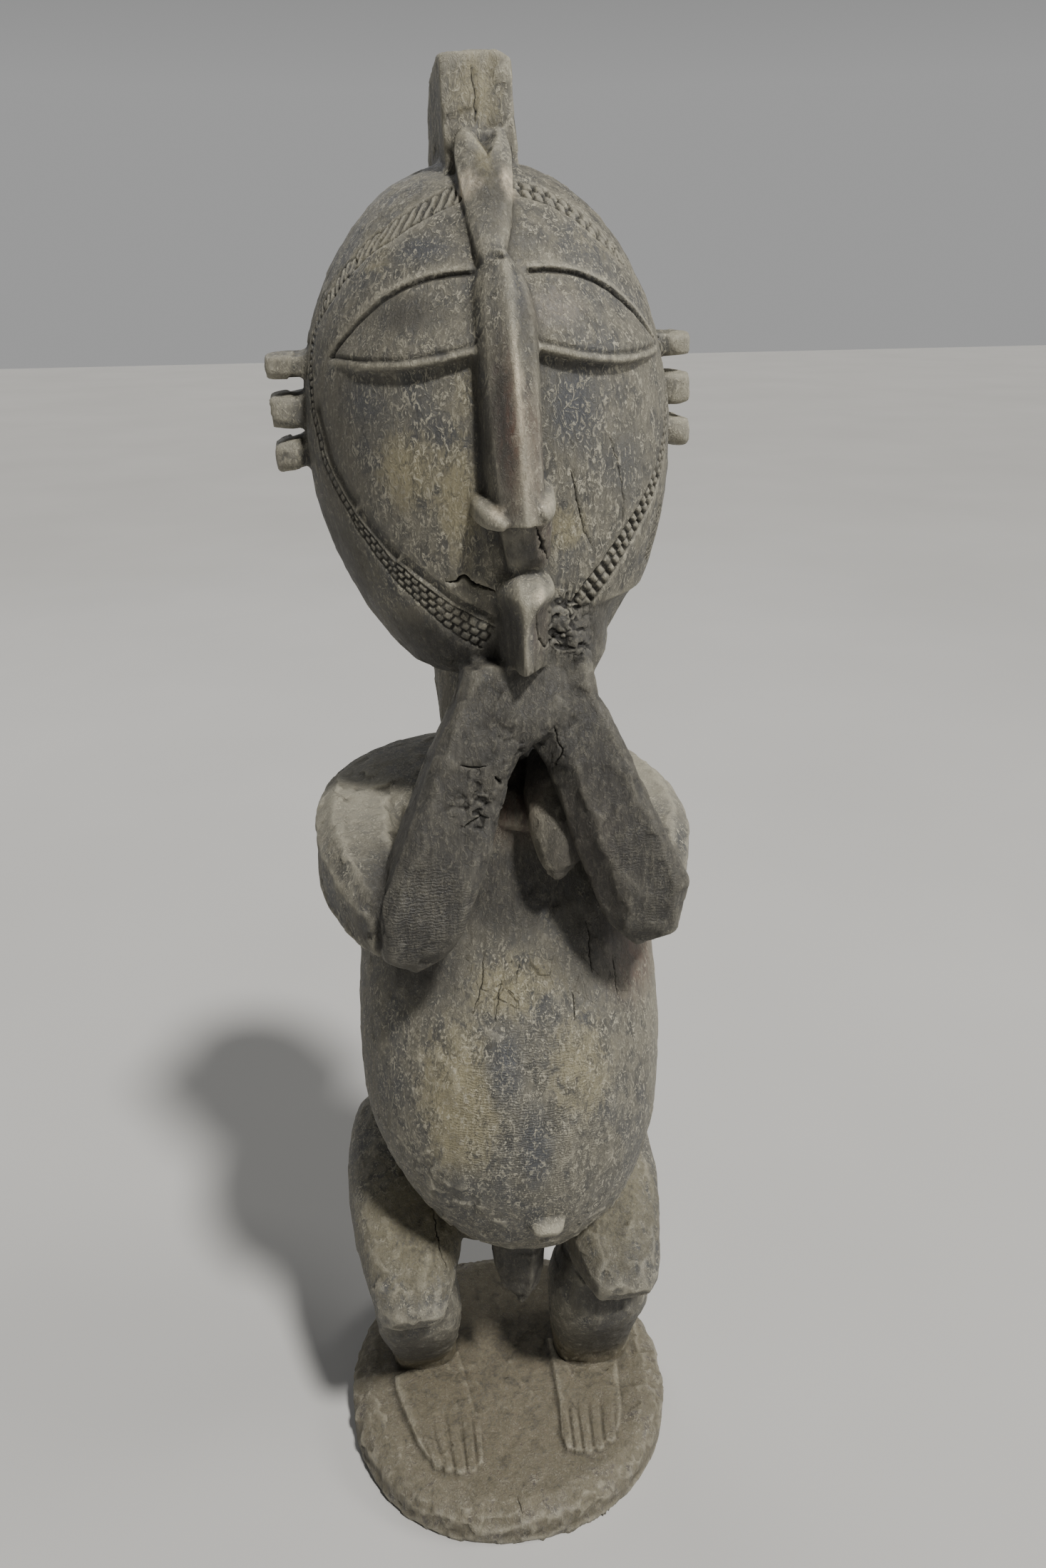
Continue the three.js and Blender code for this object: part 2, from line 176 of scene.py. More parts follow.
def base():
    """The disc under the feet, whose rim is rounded above and is a little uneven."""
    top = BASE_THICKNESS
    profile = [
        (LOG_RADIUS - 3, 0),
        (LOG_RADIUS, 5),
        (LOG_RADIUS + 0.5, 15),
        (LOG_RADIUS, top - 13),
        (LOG_RADIUS - 5, top - 6),
        (LOG_RADIUS - 13, top - 1.5),
        (LOG_RADIUS - 19, top),
    ]
    angles = np.arange(150) / 150 * 2 * math.pi
    # The rim is cut by hand: it is a little square, and wanders.
    wander = 1 - 0.012 * np.cos(4 * angles) + 0.005 * np.sin(3 * angles + 0.6)
    rings = []
    for radius, z in profile:
        r = radius * wander
        rings.append(np.stack([r * np.cos(angles), r * np.sin(angles), np.full(150, z)], 1))
    return skin(rings)


# Legs: [x, y, z, half width, half depth, power] along the calf, and along the thigh from hip to knee
RIGHT_CALF = [
    [-74, 38, 26, 30, 28, 2.8],
    [-76, 32, 60, 31, 29, 2.8],
    [-78, 2, 115, 35, 34, 2.8],
    [-81, -31, 172, 37, 33, 2.8],
    [-85, -42, 228, 28, 25, 2.8],
]
LEFT_CALF = [
    [85, 22, 26, 36, 34, 2.8],
    [83, 16, 60, 37, 33, 2.8],
    [80, -8, 115, 40, 35, 2.8],
    [79, -34, 172, 43, 37, 2.8],
    [84, -42, 228, 33, 26, 2.8],
]
THIGH = [
    [62, 72, 312, 22, 20, 2.4],
    [76, 58, 294, 44, 44, 2.5],
    [82, 14, 272, 49, 54, 2.6],
    [84, -36, 250, 45, 46, 2.8],
    [86, -76, 233, 34, 33, 2.8],
    [87, -95, 222, 26, 23, 2.6],
    [87, -101, 218, 19, 15, 2.4],
]


def leg(calf, side):
    return [limb(calf), limb(mirrored(THIGH, side), steps=5)]


def pelvis():
    return stack(
        [
            [226, TORSO_X, 44, -26, 76, 2.6],
            [246, TORSO_X, 74, -52, 98, 2.6],
            [288, TORSO_X, 99, -62, 110, 2.5],
            [334, TORSO_X, 96, -60, 100, 2.4],
            [372, TORSO_X, 90, -50, 78, 2.3],
            [404, TORSO_X, 78, -30, 58, 2.2],
        ]
    )


def wedge():
    """The faceted wedge that hangs below the belly: its front is an edge, set towards the figure's left."""
    # [z, x of its right side, of its front edge and of its left side, y of the edge]
    rows = [
        [176, 0, 6, 11, -57],
        [190, -8, 12, 23, -62],
        [214, -14, 15, 26, -66],
        [264, -17, 15, 28, -72],
    ]
    back = -24
    return skin(
        [
            [(right, back, z), (right, y + 14, z), (edge, y, z), (left, y + 12, z), (left, back, z)]
            for z, right, edge, left, y in rows
        ]
    )


def torso():
    """A barrel that swells into the belly."""
    return stack(
        [
            [255, 15, 24, -66, -14, 2.0],
            [268, 14, 49, -86, 8, 2.0],
            [288, 13, 71, -105, 28, 2.05],
            [320, 11, 90, -124, 50, 2.1],
            [360, 7.5, 106, -137, 76, 2.15],
            [400, TORSO_X, 114, -142, 85, 2.2],
            [450, TORSO_X, 115, -138, 87, 2.25],
            [500, TORSO_X, 112, -126, 88, 2.3],
            [550, TORSO_X, 106, -109, 90, 2.35],
            [600, TORSO_X, 96, -94, 92, 2.4],
            [645, TORSO_X, 76, -86, 80, 2.4],
        ],
        segments=96,
    )


NAVEL = (16, -124, 334)


def navel():
    x, y, z = NAVEL
    return limb(
        [
            [x, y + 14, z + 4, 14, 12],
            [x, y - 7, z, 13, 9],
            [x, y - 13, z - 4, 8, 4.5],
        ],
        steps=2,
        cut=0.45,
    )


# [x, y, z, half width, half depth, power] from the root to the tip
LEFT_BREAST = [
    [30, -66, 685, 15, 14, 2],
    [31, -88, 674, 22.5, 19, 2],
    [30, -105, 653, 21, 18.5, 2],
    [27.5, -114, 635, 14.5, 13, 2],
    [25.5, -117, 624, 7.5, 7, 2],
    [25, -118.5, 619, 3, 3, 2],
]
RIGHT_BREAST = shifted(mirrored(LEFT_BREAST, -1), -6)


def shoulders():
    return stack(
        [
            [552, SHOULDER_X, 88, -40, 76, 2.3],
            [580, SHOULDER_X, 115, -56, 97, 2.3],
            [606, SHOULDER_X, 127, -64, 106, 2.3],
            [630, SHOULDER_X, 123, -60, 103, 2.3],
            [648, SHOULDER_X, 100, -46, 88, 2.2],
            [660, SHOULDER_X, 58, -26, 58, 2.1],
        ]
    )


# [x, y, z, half width, half depth] for the upper arms, from the shoulder forward to the elbow
UPPER_ARM = [
    [84, 30, 612, 40, 34],
    [98, -20, 612, 33, 35],
    [100, -66, 610, 28, 33],
    [90, -104, 603, 25, 30],
    [82, -128, 596, 17, 22],
]
# and for the forearms, from the elbow up to the hand
RIGHT_FOREARM = [
    [-62, -126, 571, 11, 10],
    [-69, -125, 584, 23, 20],
    [-65.5, -125, 608, 27.5, 24],
    [-47.5, -122, 656, 27.5, 24],
    [-30, -116, 706, 24, 22],
    [-20.5, -113, 723, 24.5, 21],
    [-15, -108, 740, 22, 20],
    [-13, -104, 762, 17, 16],
]
LEFT_FOREARM = [
    [70, -126, 577, 9, 9],
    [79, -124, 588, 24, 20],
    [80, -123, 614, 30, 24],
    [62, -121, 656, 27.5, 24],
    [43, -115, 706, 24, 22],
    [34.5, -112, 722, 25.5, 21],
    [29.5, -107, 738, 22.5, 20],
    [28, -103, 762, 20, 18],
    [29, -99, 790, 18, 14],
]


def arm(forearm, side, inner_cut):
    upper = shifted(mirrored(UPPER_ARM, side), SHOULDER_X)
    return [limb(upper, steps=4, cut=0.42), limb(forearm, steps=1, cut=0.25, inner_cut=inner_cut)]


def neck():
    """The neck, whose foot swells over the top of the chest."""
    return stack(
        [
            [630, 8, 40, -80, 52, 2.0],
            [648, 8, 44, -92, 56, 2.0],
            [664, 7, 43, -88, 56, 2.0],
            [680, 5, 41, -72, 54, 2.1],
            [704, 4, 42, -56, 54, 2.2],
            [775, 3, 46, -60, 58, 2.2],
        ]
    )


def hands():
    """A web of wood joins the two hands in front, and the left hand to the jaw and the neck behind."""
    front = stack(
        [
            [710, -1, 3, -126, -60, 2.4],
            [718, 1.5, 12, -132, -52, 2.6],
            [729, 5, 26, -134, -42, 3.4],
            [742, 7, 33, -131, -30, 5],
            [755, 7.5, 34, -126, -25, 5],
            [768, 8, 34, -121, -20, 5],
        ],
        segments=64,
        steps=2,
    )
    side = stack(
        [
            [716, 20, 26, -90, -20, 2.4],
            [736, 24, 34, -96, 0, 2.4],
            [752, 27, 38, -102, 10, 2.4],
            [778, 27, 50, -108, 16, 2.4],
            [798, 27, 52, -108, 16, 2.4],
        ],
        segments=40,
    )
    corner = limb(
        [
            [29, -84, 744, 14, 32],
            [30, -86, 764, 16, 35],
            [29, -85, 784, 16, 34],
            [25, -82, 803, 12, 32],
            [21, -80, 812, 9, 30],
        ],
        steps=2,
        cut=0.5,
    )
    return [front, side, corner]


# The head, in its own upright frame, which leans as one at the end
HEAD = [
    [743, -2, 34, -60, 46, 2.2],
    [753, -1, 60, -92, 66, 2.3],
    [772, 0, 79, -107, 84, 2.35],
    [805, 0, 98, -114, 100, 2.4],
    [845, -0.5, 111, -117, 112, 2.4],
    [885, -1, 116, -116, 119, 2.4],
    [925, -1, 114, -112, 121, 2.35],
    [965, -1, 104, -103, 117, 2.3],
    [1003, 0, 84, -84, 104, 2.2],
    [1032, 0, 56, -54, 80, 2.1],
    [1046, 0, 24, -24, 48, 2.0],
]
HEAD_ROWS = smooth_rows(HEAD, 8)


def head_section(z):
    """Half width, front y, back y and power of the head at a height."""
    return [np.interp(z, HEAD_ROWS[:, 0], HEAD_ROWS[:, k]) for k in (2, 3, 4, 5)]


def face_y(x, z):
    """y of the face's surface at x and z."""
    half, front, back, power = head_section(z)
    across = min(abs(x) / half, 0.999)
    return (front + back) / 2 + (front - back) / 2 * (1 - across**power) ** (1 / power)


def head_point(z, degrees):
    """The point of the head's surface at a height, seen from its axis at an angle from straight ahead."""
    half, front, back, power = head_section(z)
    turn = math.radians(degrees)
    low, high = 0.0, 200.0
    for _ in range(40):
        reach = (low + high) / 2
        x = reach * math.sin(turn)
        y = -reach * math.cos(turn)
        inside = (abs(x) / half) ** power + (abs(y - (front + back) / 2) / ((back - front) / 2)) ** power < 1
        low, high = (reach, high) if inside else (low, reach)
    return [x, y, z]


def nose():
    """A long faceted beam whose front edge runs out from the brow to the tip."""
    # [height at the front edge, half width on its right, half width on its left, y of the edge]
    rows = [
        [855.5, 17, 13.5, -145.8],
        [859, 18.5, 14.5, -147.2],
        [900, 21, 15, -141],
        [950, 20.5, 16, -130.5],
        [975, 18.5, 14, -120.5],
        [988, 14, 8.5, -112],
        [997, 8, 3, -104.5],
    ]
    rings = []
    for z, right, left, edge in smooth_rows(rows, 4):
        root = max(face_y(0, z) + 14, edge + 12)
        side = edge + (root - edge) * 0.4
        section = [
            (-0.6, edge),
            (1.4, edge),
            (0.8 * left, edge + 6.5),
            (left, side),
            (left, root),
            (-right, root),
            (-0.86 * right, side),
            (-0.66 * right, edge + 6.5),
        ]
        rings.append([(x, y, z) for x, y in section])
    return skin(rings)


def septum():
    """The block under the nose, down to the lip."""
    return limb(
        [
            [3, -122, 864, 15, 19],
            [3, -120, 850, 14.5, 17.5],
            [4, -117, 838, 13, 15],
            [5, -112, 826, 11, 10],
        ],
        steps=1,
        cut=0.4,
    )


# Nostrils, from the cheek to the tip of the nose
RIGHT_NOSTRIL = [
    [-19, -106, 864, 8, 7.5, 2.6],
    [-19.5, -118, 863, 8.2, 7.5, 2.6],
    [-18.5, -129, 861, 7.4, 7, 2.6],
    [-16, -138, 859, 5.6, 5.4, 2.4],
    [-12.8, -143.5, 857.4, 3.8, 3.6, 2.4],
    [-11, -145.6, 856.6, 2.2, 2, 2.2],
]
LEFT_NOSTRIL = [
    [13.5, -104, 870, 7.5, 7, 2.2],
    [14, -116, 868, 8, 7.5, 2.2],
    [13.5, -127, 865, 8, 7.5, 2.2],
    [12, -135.5, 862, 7, 6.5, 2.2],
    [9, -141, 859.5, 5, 4.5, 2.2],
]


def nostril(stations):
    return limb(stations, across=np.array([0.0, 0.0, 1.0]), segments=28, steps=4)


# Eyes: a lens between the brow and the lower lid, whose lower edge stands out from the cheek
EYE_INNER = 14
EYE_OUTER = 98
EYE_FULL_GAP = 18


def brow_z(t):
    return 989 - 45 * t**2.5 - 1.5 * (1 - t)


def lid_z(t, side):
    sag = 9 if side < 0 else 12
    return 947.5 - sag * math.sin(t * 0.66 * math.pi) + 2 * t


def eye_x(t):
    return EYE_INNER + (EYE_OUTER - EYE_INNER) * t


def eye_fit(t, side):
    """How far the lens has its full section: it shrinks in the corner, where brow and lid come together."""
    return min(1, max(brow_z(t) - lid_z(t, side), 1) / EYE_FULL_GAP)


def eye_stand(t, side):
    """How far the lower edge of the lens stands out from the cheek."""
    return 7.5 * math.sin(math.pi * (0.18 + 0.76 * t)) ** 0.6 * eye_fit(t, side) ** 0.3


def eye(side):
    stations = 44
    rings = []
    for i in range(stations + 1):
        t = i / stations
        x = eye_x(t)
        brow, lid = brow_z(t), lid_z(t, side)
        fit, stand = eye_fit(t, side), eye_stand(t, side)
        brow_y, lid_y = face_y(x, brow), face_y(x, lid)
        section = [(brow_y + 8, brow + 2), (brow_y - 0.5, brow + 1), (brow_y - 0.5, brow - 1.5)]
        top, bottom = brow - 3.2 * fit, lid + 2.5 * fit
        for w in (0.0, 0.2, 0.4, 0.6, 0.8, 1.0):
            y = (1 - w) * (brow_y - 1.0 * fit) + w * (lid_y - stand + 0.4 * fit)
            section.append((y - 2.4 * fit * math.sin(math.pi * w), (1 - w) * top + w * bottom))
        section += [
            (lid_y - stand - 0.6 * fit, lid + 0.8 * fit),
            (lid_y - stand - 0.2 * fit, lid - 1.4 * fit),
            (lid_y - 0.4 * stand, lid - 2.6 * fit),
            (lid_y + 8, lid - 1.2 * fit),
        ]
        rings.append([(side * x, y, z) for y, z in section])
    return skin(rings)


def mouth():
    """A block under the nose whose rounded top is the lips and whose front edge is the chin."""
    # [height, right side, left side, x and y of the front edge, y where the right and left sides begin]
    rows = [
        [766.5, -13.5, 17.5, -3, -142, -113, -117],
        [790, -14, 18, -2.5, -143.5, -114, -118],
        [805, -14.5, 18, -1, -146, -116, -121],
        [811, -15, 18.5, 1, -147.5, -119, -126],
        [816, -14.5, 18.5, 2, -144, -119, -127],
        [821, -13.5, 17.5, 3, -135, -115, -121],
        [826, -10, 14, 3, -120, -106, -110],
    ]
    back = -90
    rings = []
    for z, right, left, edge, front, right_y, left_y in smooth_rows(rows, 2):
        soft = 0.12 + 0.66 * min(1, max(0, (z - 800) / 14))
        section = [(right, back), (right, right_y)]
        for x, y in ((right, right_y), (left, left_y)):
            section.append((edge + soft * 0.5 * (x - edge), front + soft * 0.12 * (y - front)))
        section += [(left, left_y), (left, back)]
        rings.append([(x, y, z) for x, y in section])
    return skin(rings)


def ear(side):
    """Each ear is three stubby fins standing out from the side of the head."""
    reach = 136.5 if side < 0 else 131
    fins = [(938, 7.5, 0), (911, 10.5, 0), (885, 9, 4)]  # (height, half thickness, drop towards the head)
    return [
        limb(
            [
                [side * 98, 4, z + drop, 24, tall, 5],
                [side * (reach - 12), 2, z, 22, tall, 5],
                [side * (reach - 2), 2, z - 0.5 * drop, 20, tall * 0.92, 5],
                [side * reach, 2, z - 0.5 * drop, 18, tall * 0.8, 4.5],
            ],
            across=np.array([0.0, 1.0, 0.0]),
            segments=32,
            steps=4,
        )
        for z, tall, drop in fins
    ]


# The crest: a thick comb over the head, with a keel that runs down the forehead to the nose
CREST_HALF = 20.5
CREST_FRONT = -34
CREST_LENGTH = 154
CREST_FOOT = 1030
KEEL_TOP = 1062


def crest():
    def outline(inset, lower):
        """The side view, closed, drawn in from the edge by `inset` and let down by `lower`."""
        edge = []
        for i in range(29):
            t = 0.9 * i / 28
            z = HEIGHT - 1.1 + 2 * math.sin(math.pi * t) - 168 * t**3.4
            edge.append((CREST_FRONT + inset + (CREST_LENGTH - inset) * t, z - inset - lower))
        return [(CREST_FRONT - 3 + inset, 1034), *edge, (90, 940), (40, 980)]

    rings = []
    for k in range(-8, 9):
        share = k / 8
        inset = 1.0 * abs(share) ** 8
        corner = max(0, share - 0.45) / 0.55
        lower = 3.0 * corner**1.6 + 0.5 * max(0, -share - 0.75) / 0.25
        x = CREST_HALF * share
        # The comb widens a little towards its foot on the figure's left.
        rings.append(
            [
                (x + 1.6 * corner * (HEIGHT - z) / 60 if z > CREST_FOOT else x, y, z)
                for y, z in outline(inset, lower)
            ]
        )
    return skin(rings)


def keel():
    # [height, middle x, half width, front y, back y]
    rows = [
        [KEEL_TOP, 1, 13, -43.5, -20],
        [1047, 0, 16.5, -56, -20],
        [1030, -1, 15, -72, -30],
        [1012, -2.5, 12.5, -88, -50],
        [999, -4, 9.5, -99.5, -66],
        [992, -4.8, 7.5, -103.5, -74],
    ]
    rings = []
    for z, x, half, front, back in smooth_rows(rows, 3):
        section = [
            (-0.08 * half, front),
            (0.08 * half, front),
            (0.62 * half, front + 1.6),
            (half, front + 7.5),
            (0.8 * half, back),
            (-0.8 * half, back),
            (-half, front + 7.5),
            (-0.62 * half, front + 1.6),
        ]
        # The top dips in the middle, like a V.
        dip = 5.5 * ramp(z, KEEL_TOP - 12, KEEL_TOP)
        rings.append([(x + side, y, z - dip * (1 - abs(side) / half)) for side, y in section])
    return skin(rings)


def leaned(points, lean=HEAD_LEAN):
    """Carries points of the upright head into the figure, where the head leans."""
    points = np.array(points, float)
    x, z = points[..., 0].copy(), points[..., 2] - HEAD_MIDDLE
    points[..., 0] = math.cos(lean) * x + math.sin(lean) * z
    points[..., 2] = -math.sin(lean) * x + math.cos(lean) * z + HEAD_MIDDLE
    return points


def upright(points):
    """The inverse of leaned()."""
    return leaned(points, -HEAD_LEAN)


def all_parts():
    """Every part of the carving, as closed shapes in millimetres."""
    body = [base(), pelvis(), wedge(), torso(), navel(), shoulders(), neck(), *hands()]
    body += [limb(LEFT_BREAST, segments=32), limb(RIGHT_BREAST, segments=32)]
    body += [*leg(RIGHT_CALF, -1), *leg(LEFT_CALF, 1)]
    body += [*arm(RIGHT_FOREARM, -1, 0.25), *arm(LEFT_FOREARM, 1, 0.56)]
    head = [stack(HEAD, segments=120), nose(), septum(), crest(), keel(), mouth()]
    for side in (-1, 1):
        head += [nostril(LEFT_NOSTRIL if side > 0 else RIGHT_NOSTRIL), eye(side), *ear(side)]
    return body + [(leaned(points), faces) for points, faces in head]


# Mesh helpers


def new_object(name, mesh):
    obj = bpy.data.objects.new(name, mesh)
    bpy.context.scene.collection.objects.link(obj)
    return obj


def set_all(thing, settings):
    for key, value in settings.items():
        setattr(thing, key, value)


def with_modifier(mesh, kind, **settings):
    """A copy of the mesh with one modifier applied."""
    obj = new_object("work", mesh)
    set_all(obj.modifiers.new("work", kind), settings)
    evaluated = obj.evaluated_get(bpy.context.evaluated_depsgraph_get())
    made = bpy.data.meshes.new_from_object(evaluated)
    bpy.data.objects.remove(obj)
    return made


def union_mesh(parts, voxel):
    """One closed mesh, in metres, around all the parts."""
    points, faces, first = [], [], 0
    for part_points, part_faces in parts:
        points.append(part_points)
        faces += [tuple(first + i for i in face) for face in part_faces]
        first += len(part_points)
    mesh = bpy.data.meshes.new("rough")
    mesh.from_pydata((np.concatenate(points) * MM).tolist(), [], faces)
    return with_modifier(mesh, "REMESH", mode="VOXEL", voxel_size=voxel * MM, adaptivity=0.0)


def read(items, name, width, kind=np.float32):
    """A value of every vertex or edge, a row for each."""
    flat = np.empty(len(items) * width, kind)
    items.foreach_get(name, flat)
    return flat.reshape(-1, width)


def read_points(mesh):
    """Vertex positions in millimetres."""
    return read(mesh.vertices, "co", 3).astype(float) * PER_METRE


def read_normals(mesh):
    return read(mesh.vertex_normals, "vector", 3).astype(float)


def read_edges(mesh):
    return read(mesh.edges, "vertices", 2, np.int32)


def write_points(mesh, points):
    mesh.vertices.foreach_set("co", (points * MM).astype(np.float32).ravel())
    mesh.update()


def averaged(values, edges):
    """Each vertex's mean over its neighbours."""
    count = len(values)
    a, b = edges[:, 0], edges[:, 1]
    degree = np.bincount(a, minlength=count) + np.bincount(b, minlength=count)
    columns = values.reshape(count, -1)
    made = np.empty_like(columns)
    for k in range(columns.shape[1]):
        column = columns[:, k]
        total = np.bincount(a, column[b], count) + np.bincount(b, column[a], count)
        made[:, k] = total / np.maximum(degree, 1)
    return made.reshape(values.shape)


def smooth_points(points, edges, weight, rounds):
    for _ in range(rounds):
        points = points + (averaged(points, edges) - points) * (SMOOTHING * weight)[:, None]
    return points


# Fields over the surface


def ramp(value, low, high):
    """0 below low, 1 above high, and smooth between."""
    t = np.clip((value - low) / (high - low), 0, 1)
    return t * t * (3 - 2 * t)


def ball(points, centre, radii):
    """1 at the centre of an ellipsoid and 0 outside it."""
    r = np.sqrt((((points - np.array(centre)) / np.array(radii)) ** 2).sum(1))
    return 1 - ramp(r, 0.0, 1.0)


def bell(value, width):
    """1 where the value is 0, falling away on both sides over about the width."""
    return np.exp(-((value / width) ** 2))


def spots(points, places, power=1.0):
    """The strongest of several ellipsoids at each vertex. A place is (centre, radii, amount)."""
    strongest = np.zeros(len(points))
    for centre, radii, amount in places:
        strongest = np.maximum(strongest, amount * ball(points, centre, radii) ** power)
    return strongest


def on_face(points, foot):
    """1 on the front of the head, and 0 behind it and below the height of its foot."""
    return ramp(points[:, 2], foot, foot + 40) * ramp(-points[:, 1], 30, 70)


def lattice(cells, seed):
    """A steady random number from -1 to 1 for each cell."""
    x, y, z = (cells[..., k].astype(np.int64) for k in range(3))
    h = (x * 374761393 + y * 668265263 + z * 2147483029 + seed * 1274126177) & 0xFFFFFFFF
    h = ((h ^ (h >> 13)) * 1274126177) & 0xFFFFFFFF
    h = h ^ (h >> 16)
    return (h & 0xFFFF) / 32767.5 - 1


def noise(points, size, seed=0):
    """Smooth noise from -1 to 1 whose lumps are about `size` across; size may be one number or three."""
    p = points / np.array(size, float)
    cell = np.floor(p)
    f = p - cell
    f = f * f * (3 - 2 * f)
    total = 0
    for dx in (0, 1):
        for dy in (0, 1):
            for dz in (0, 1):
                share = (f[:, 0] if dx else 1 - f[:, 0]) * (f[:, 1] if dy else 1 - f[:, 1])
                share = share * (f[:, 2] if dz else 1 - f[:, 2])
                total = total + share * lattice(cell + np.array([dx, dy, dz]), seed)
    return total


class Trace:
    """A line on the surface, with the vertices near it (`index`), how far each is along it and to its side,
    and whether it is `inside` the line's two ends."""

    def __init__(self, path, points, normals, reach, spacing=2.0):
        path = np.array(path, float)
        steps = max(2, int(np.linalg.norm(np.diff(path, axis=0), axis=1).max() / spacing))
        line = smooth_rows(path, steps)
        tangents = np.gradient(line, axis=0)
        tangents /= np.linalg.norm(tangents, axis=1)[:, None]
        lengths = np.concatenate([[0], np.cumsum(np.linalg.norm(np.diff(line, axis=0), axis=1))])
        low, high = line.min(0) - reach, line.max(0) + reach
        near = np.nonzero(((points > low) & (points < high)).all(1))[0]
        place = points[near]
        best = np.full(len(near), np.inf)
        which = np.zeros(len(near), int)
        for j, p in enumerate(line):
            d = ((place - p) ** 2).sum(1)
            closer = d < best
            best[closer] = d[closer]
            which[closer] = j
        keep = best < reach**2
        near, place, which = near[keep], place[keep], which[keep]
        offset = place - line[which]
        t, n = tangents[which], normals[near]
        ahead = (offset * t).sum(1)
        aside = np.cross(t, n)
        self.count = len(points)
        self.index = near
        self.along = lengths[which] + ahead
        self.side = (offset * aside).sum(1) / np.maximum(np.linalg.norm(aside, axis=1), 1e-6)
        self.length = lengths[-1]
        beyond = np.maximum(-self.along, self.along - self.length)
        self.inside = beyond < 0.5

    def spread(self, values):
        """The values at the vertices near the line, and 0 at all others."""
        made = np.zeros(self.count)
        made[self.index] = values
        return made


# The engraved band round the face. A path is a list of (height, degrees from straight ahead) on the head,
# `half` is the half width at the path's two ends, and the band is cut into rows of blocks `pitch` long.
# `slant` leans the cuts, `wide` widens them, `shift` moves every second row along, and `dish` hollows the
# cheek inside the band.
PLAIN_BAND = {"rows": 1, "slant": 0, "depth": 1.7, "wide": 1.0, "shift": 0.5, "dish": 0}
BANDS = [
    # above the eye on the figure's right: slanting slats, then rungs down the side
    {"path": [(1027, -17), (1019, -32), (1009, -45), (1003, -53), (995, -59)], "half": (7.5, 6.5),
     "pitch": 6.8, "slant": 1.0, "depth": 3.0, "wide": 1.4},
    {"path": [(995, -59), (987, -64), (978, -67), (970, -71)], "half": (6.2, 4.5), "pitch": 5.4,
     "slant": 0.6, "depth": 2.7, "wide": 1.2},
    {"path": [(970, -71), (961, -74), (946, -74.5), (930, -71), (915, -68)], "half": (4, 3), "pitch": 4.4,
     "slant": 0.2, "depth": 1.7},
    # down the right cheek to the chin: one row that grows to three
    {"path": [(915, -68), (902, -64), (885, -60), (871, -55), (857, -50)], "half": (2.4, 2.2), "pitch": 5.0,
     "depth": 1.3, "dish": -1},
    {"path": [(857, -50), (844, -45), (835, -41.5), (827, -38)], "half": (2.6, 4.2), "rows": 2,
     "pitch": 5.6, "dish": -1},
    {"path": [(827, -38), (811, -29), (796, -21), (783, -10.5)], "half": (4.8, 8.4), "rows": 3,
     "pitch": 6.2, "depth": 2.0, "dish": -1},
    # above the eye on the figure's left: two rows of lumps, then rungs
    {"path": [(1029, 14), (1024, 31), (1014, 43), (1003, 50), (993, 56)], "half": (7.5, 6.5), "rows": 2,
     "pitch": 7.4, "slant": -0.4, "depth": 3.0, "wide": 1.6},
    {"path": [(993, 56), (985, 63), (968, 70), (948, 73), (928, 70)], "half": (5.6, 3.6), "pitch": 5.8,
     "slant": -0.3, "depth": 2.6, "wide": 1.2},
    # down the left cheek: rungs in two rows, then three
    {"path": [(928, 70), (908, 64), (888, 57.5), (868, 50)], "half": (3.6, 4.8), "rows": 2, "pitch": 5.6,
     "slant": 0.1, "wide": 1.3, "shift": 0.2},
    {"path": [(868, 50), (854, 43.5), (841, 37.5), (829, 32), (815, 26), (801, 20)], "half": (5, 7),
     "rows": 2, "pitch": 6.3, "slant": 0.1, "wide": 1.6, "depth": 2.8, "shift": 0.15},
    {"path": [(846, 57), (828, 54), (815, 50)], "half": (7.5, 5.5), "rows": 4, "pitch": 4.6, "depth": 1.4},
]

# Lines incised or split in the surface: half width and depth at the widest place, and the path
HEAD_CRACKS = {
    "mouth": (1.36, 5.0, [(-43, -109.5, 820.5), (-38, -110.5, 820), (-33.5, -112.4, 823),
        (-27.6, -113.3, 818.4), (-21, -113.6, 815.5), (-14, -114, 813)]),
    "cheek inner": (0.48, 1.4, [(32, -113.4, 881), (34.5, -113.4, 868), (36.8, -113, 856),
        (39.3, -112.3, 845), (44.7, -110.3, 835)]),
    "cheek outer": (0.41, 1.1, [(57, -104.8, 895), (61, -103.7, 884), (63.7, -102.8, 873),
        (65.5, -102.2, 862.5), (65.5, -101.5, 843)]),
    "septum": (0.75, 3.0, [(7.5, -136, 856), (8.5, -133.8, 850), (10, -130, 841), (13, -124, 833)]),
    "chin": (1.3, 3.0, [(4, -139, 806), (6, -136, 797), (8, -133, 789), (11, -129, 783), (15, -125, 780),
        (19, -122, 784)]),
    "crest line": (0.6, 0.8, [(-3, -35, 1090), (-1.5, -35, 1078), (-2, -35, 1064)]),
}
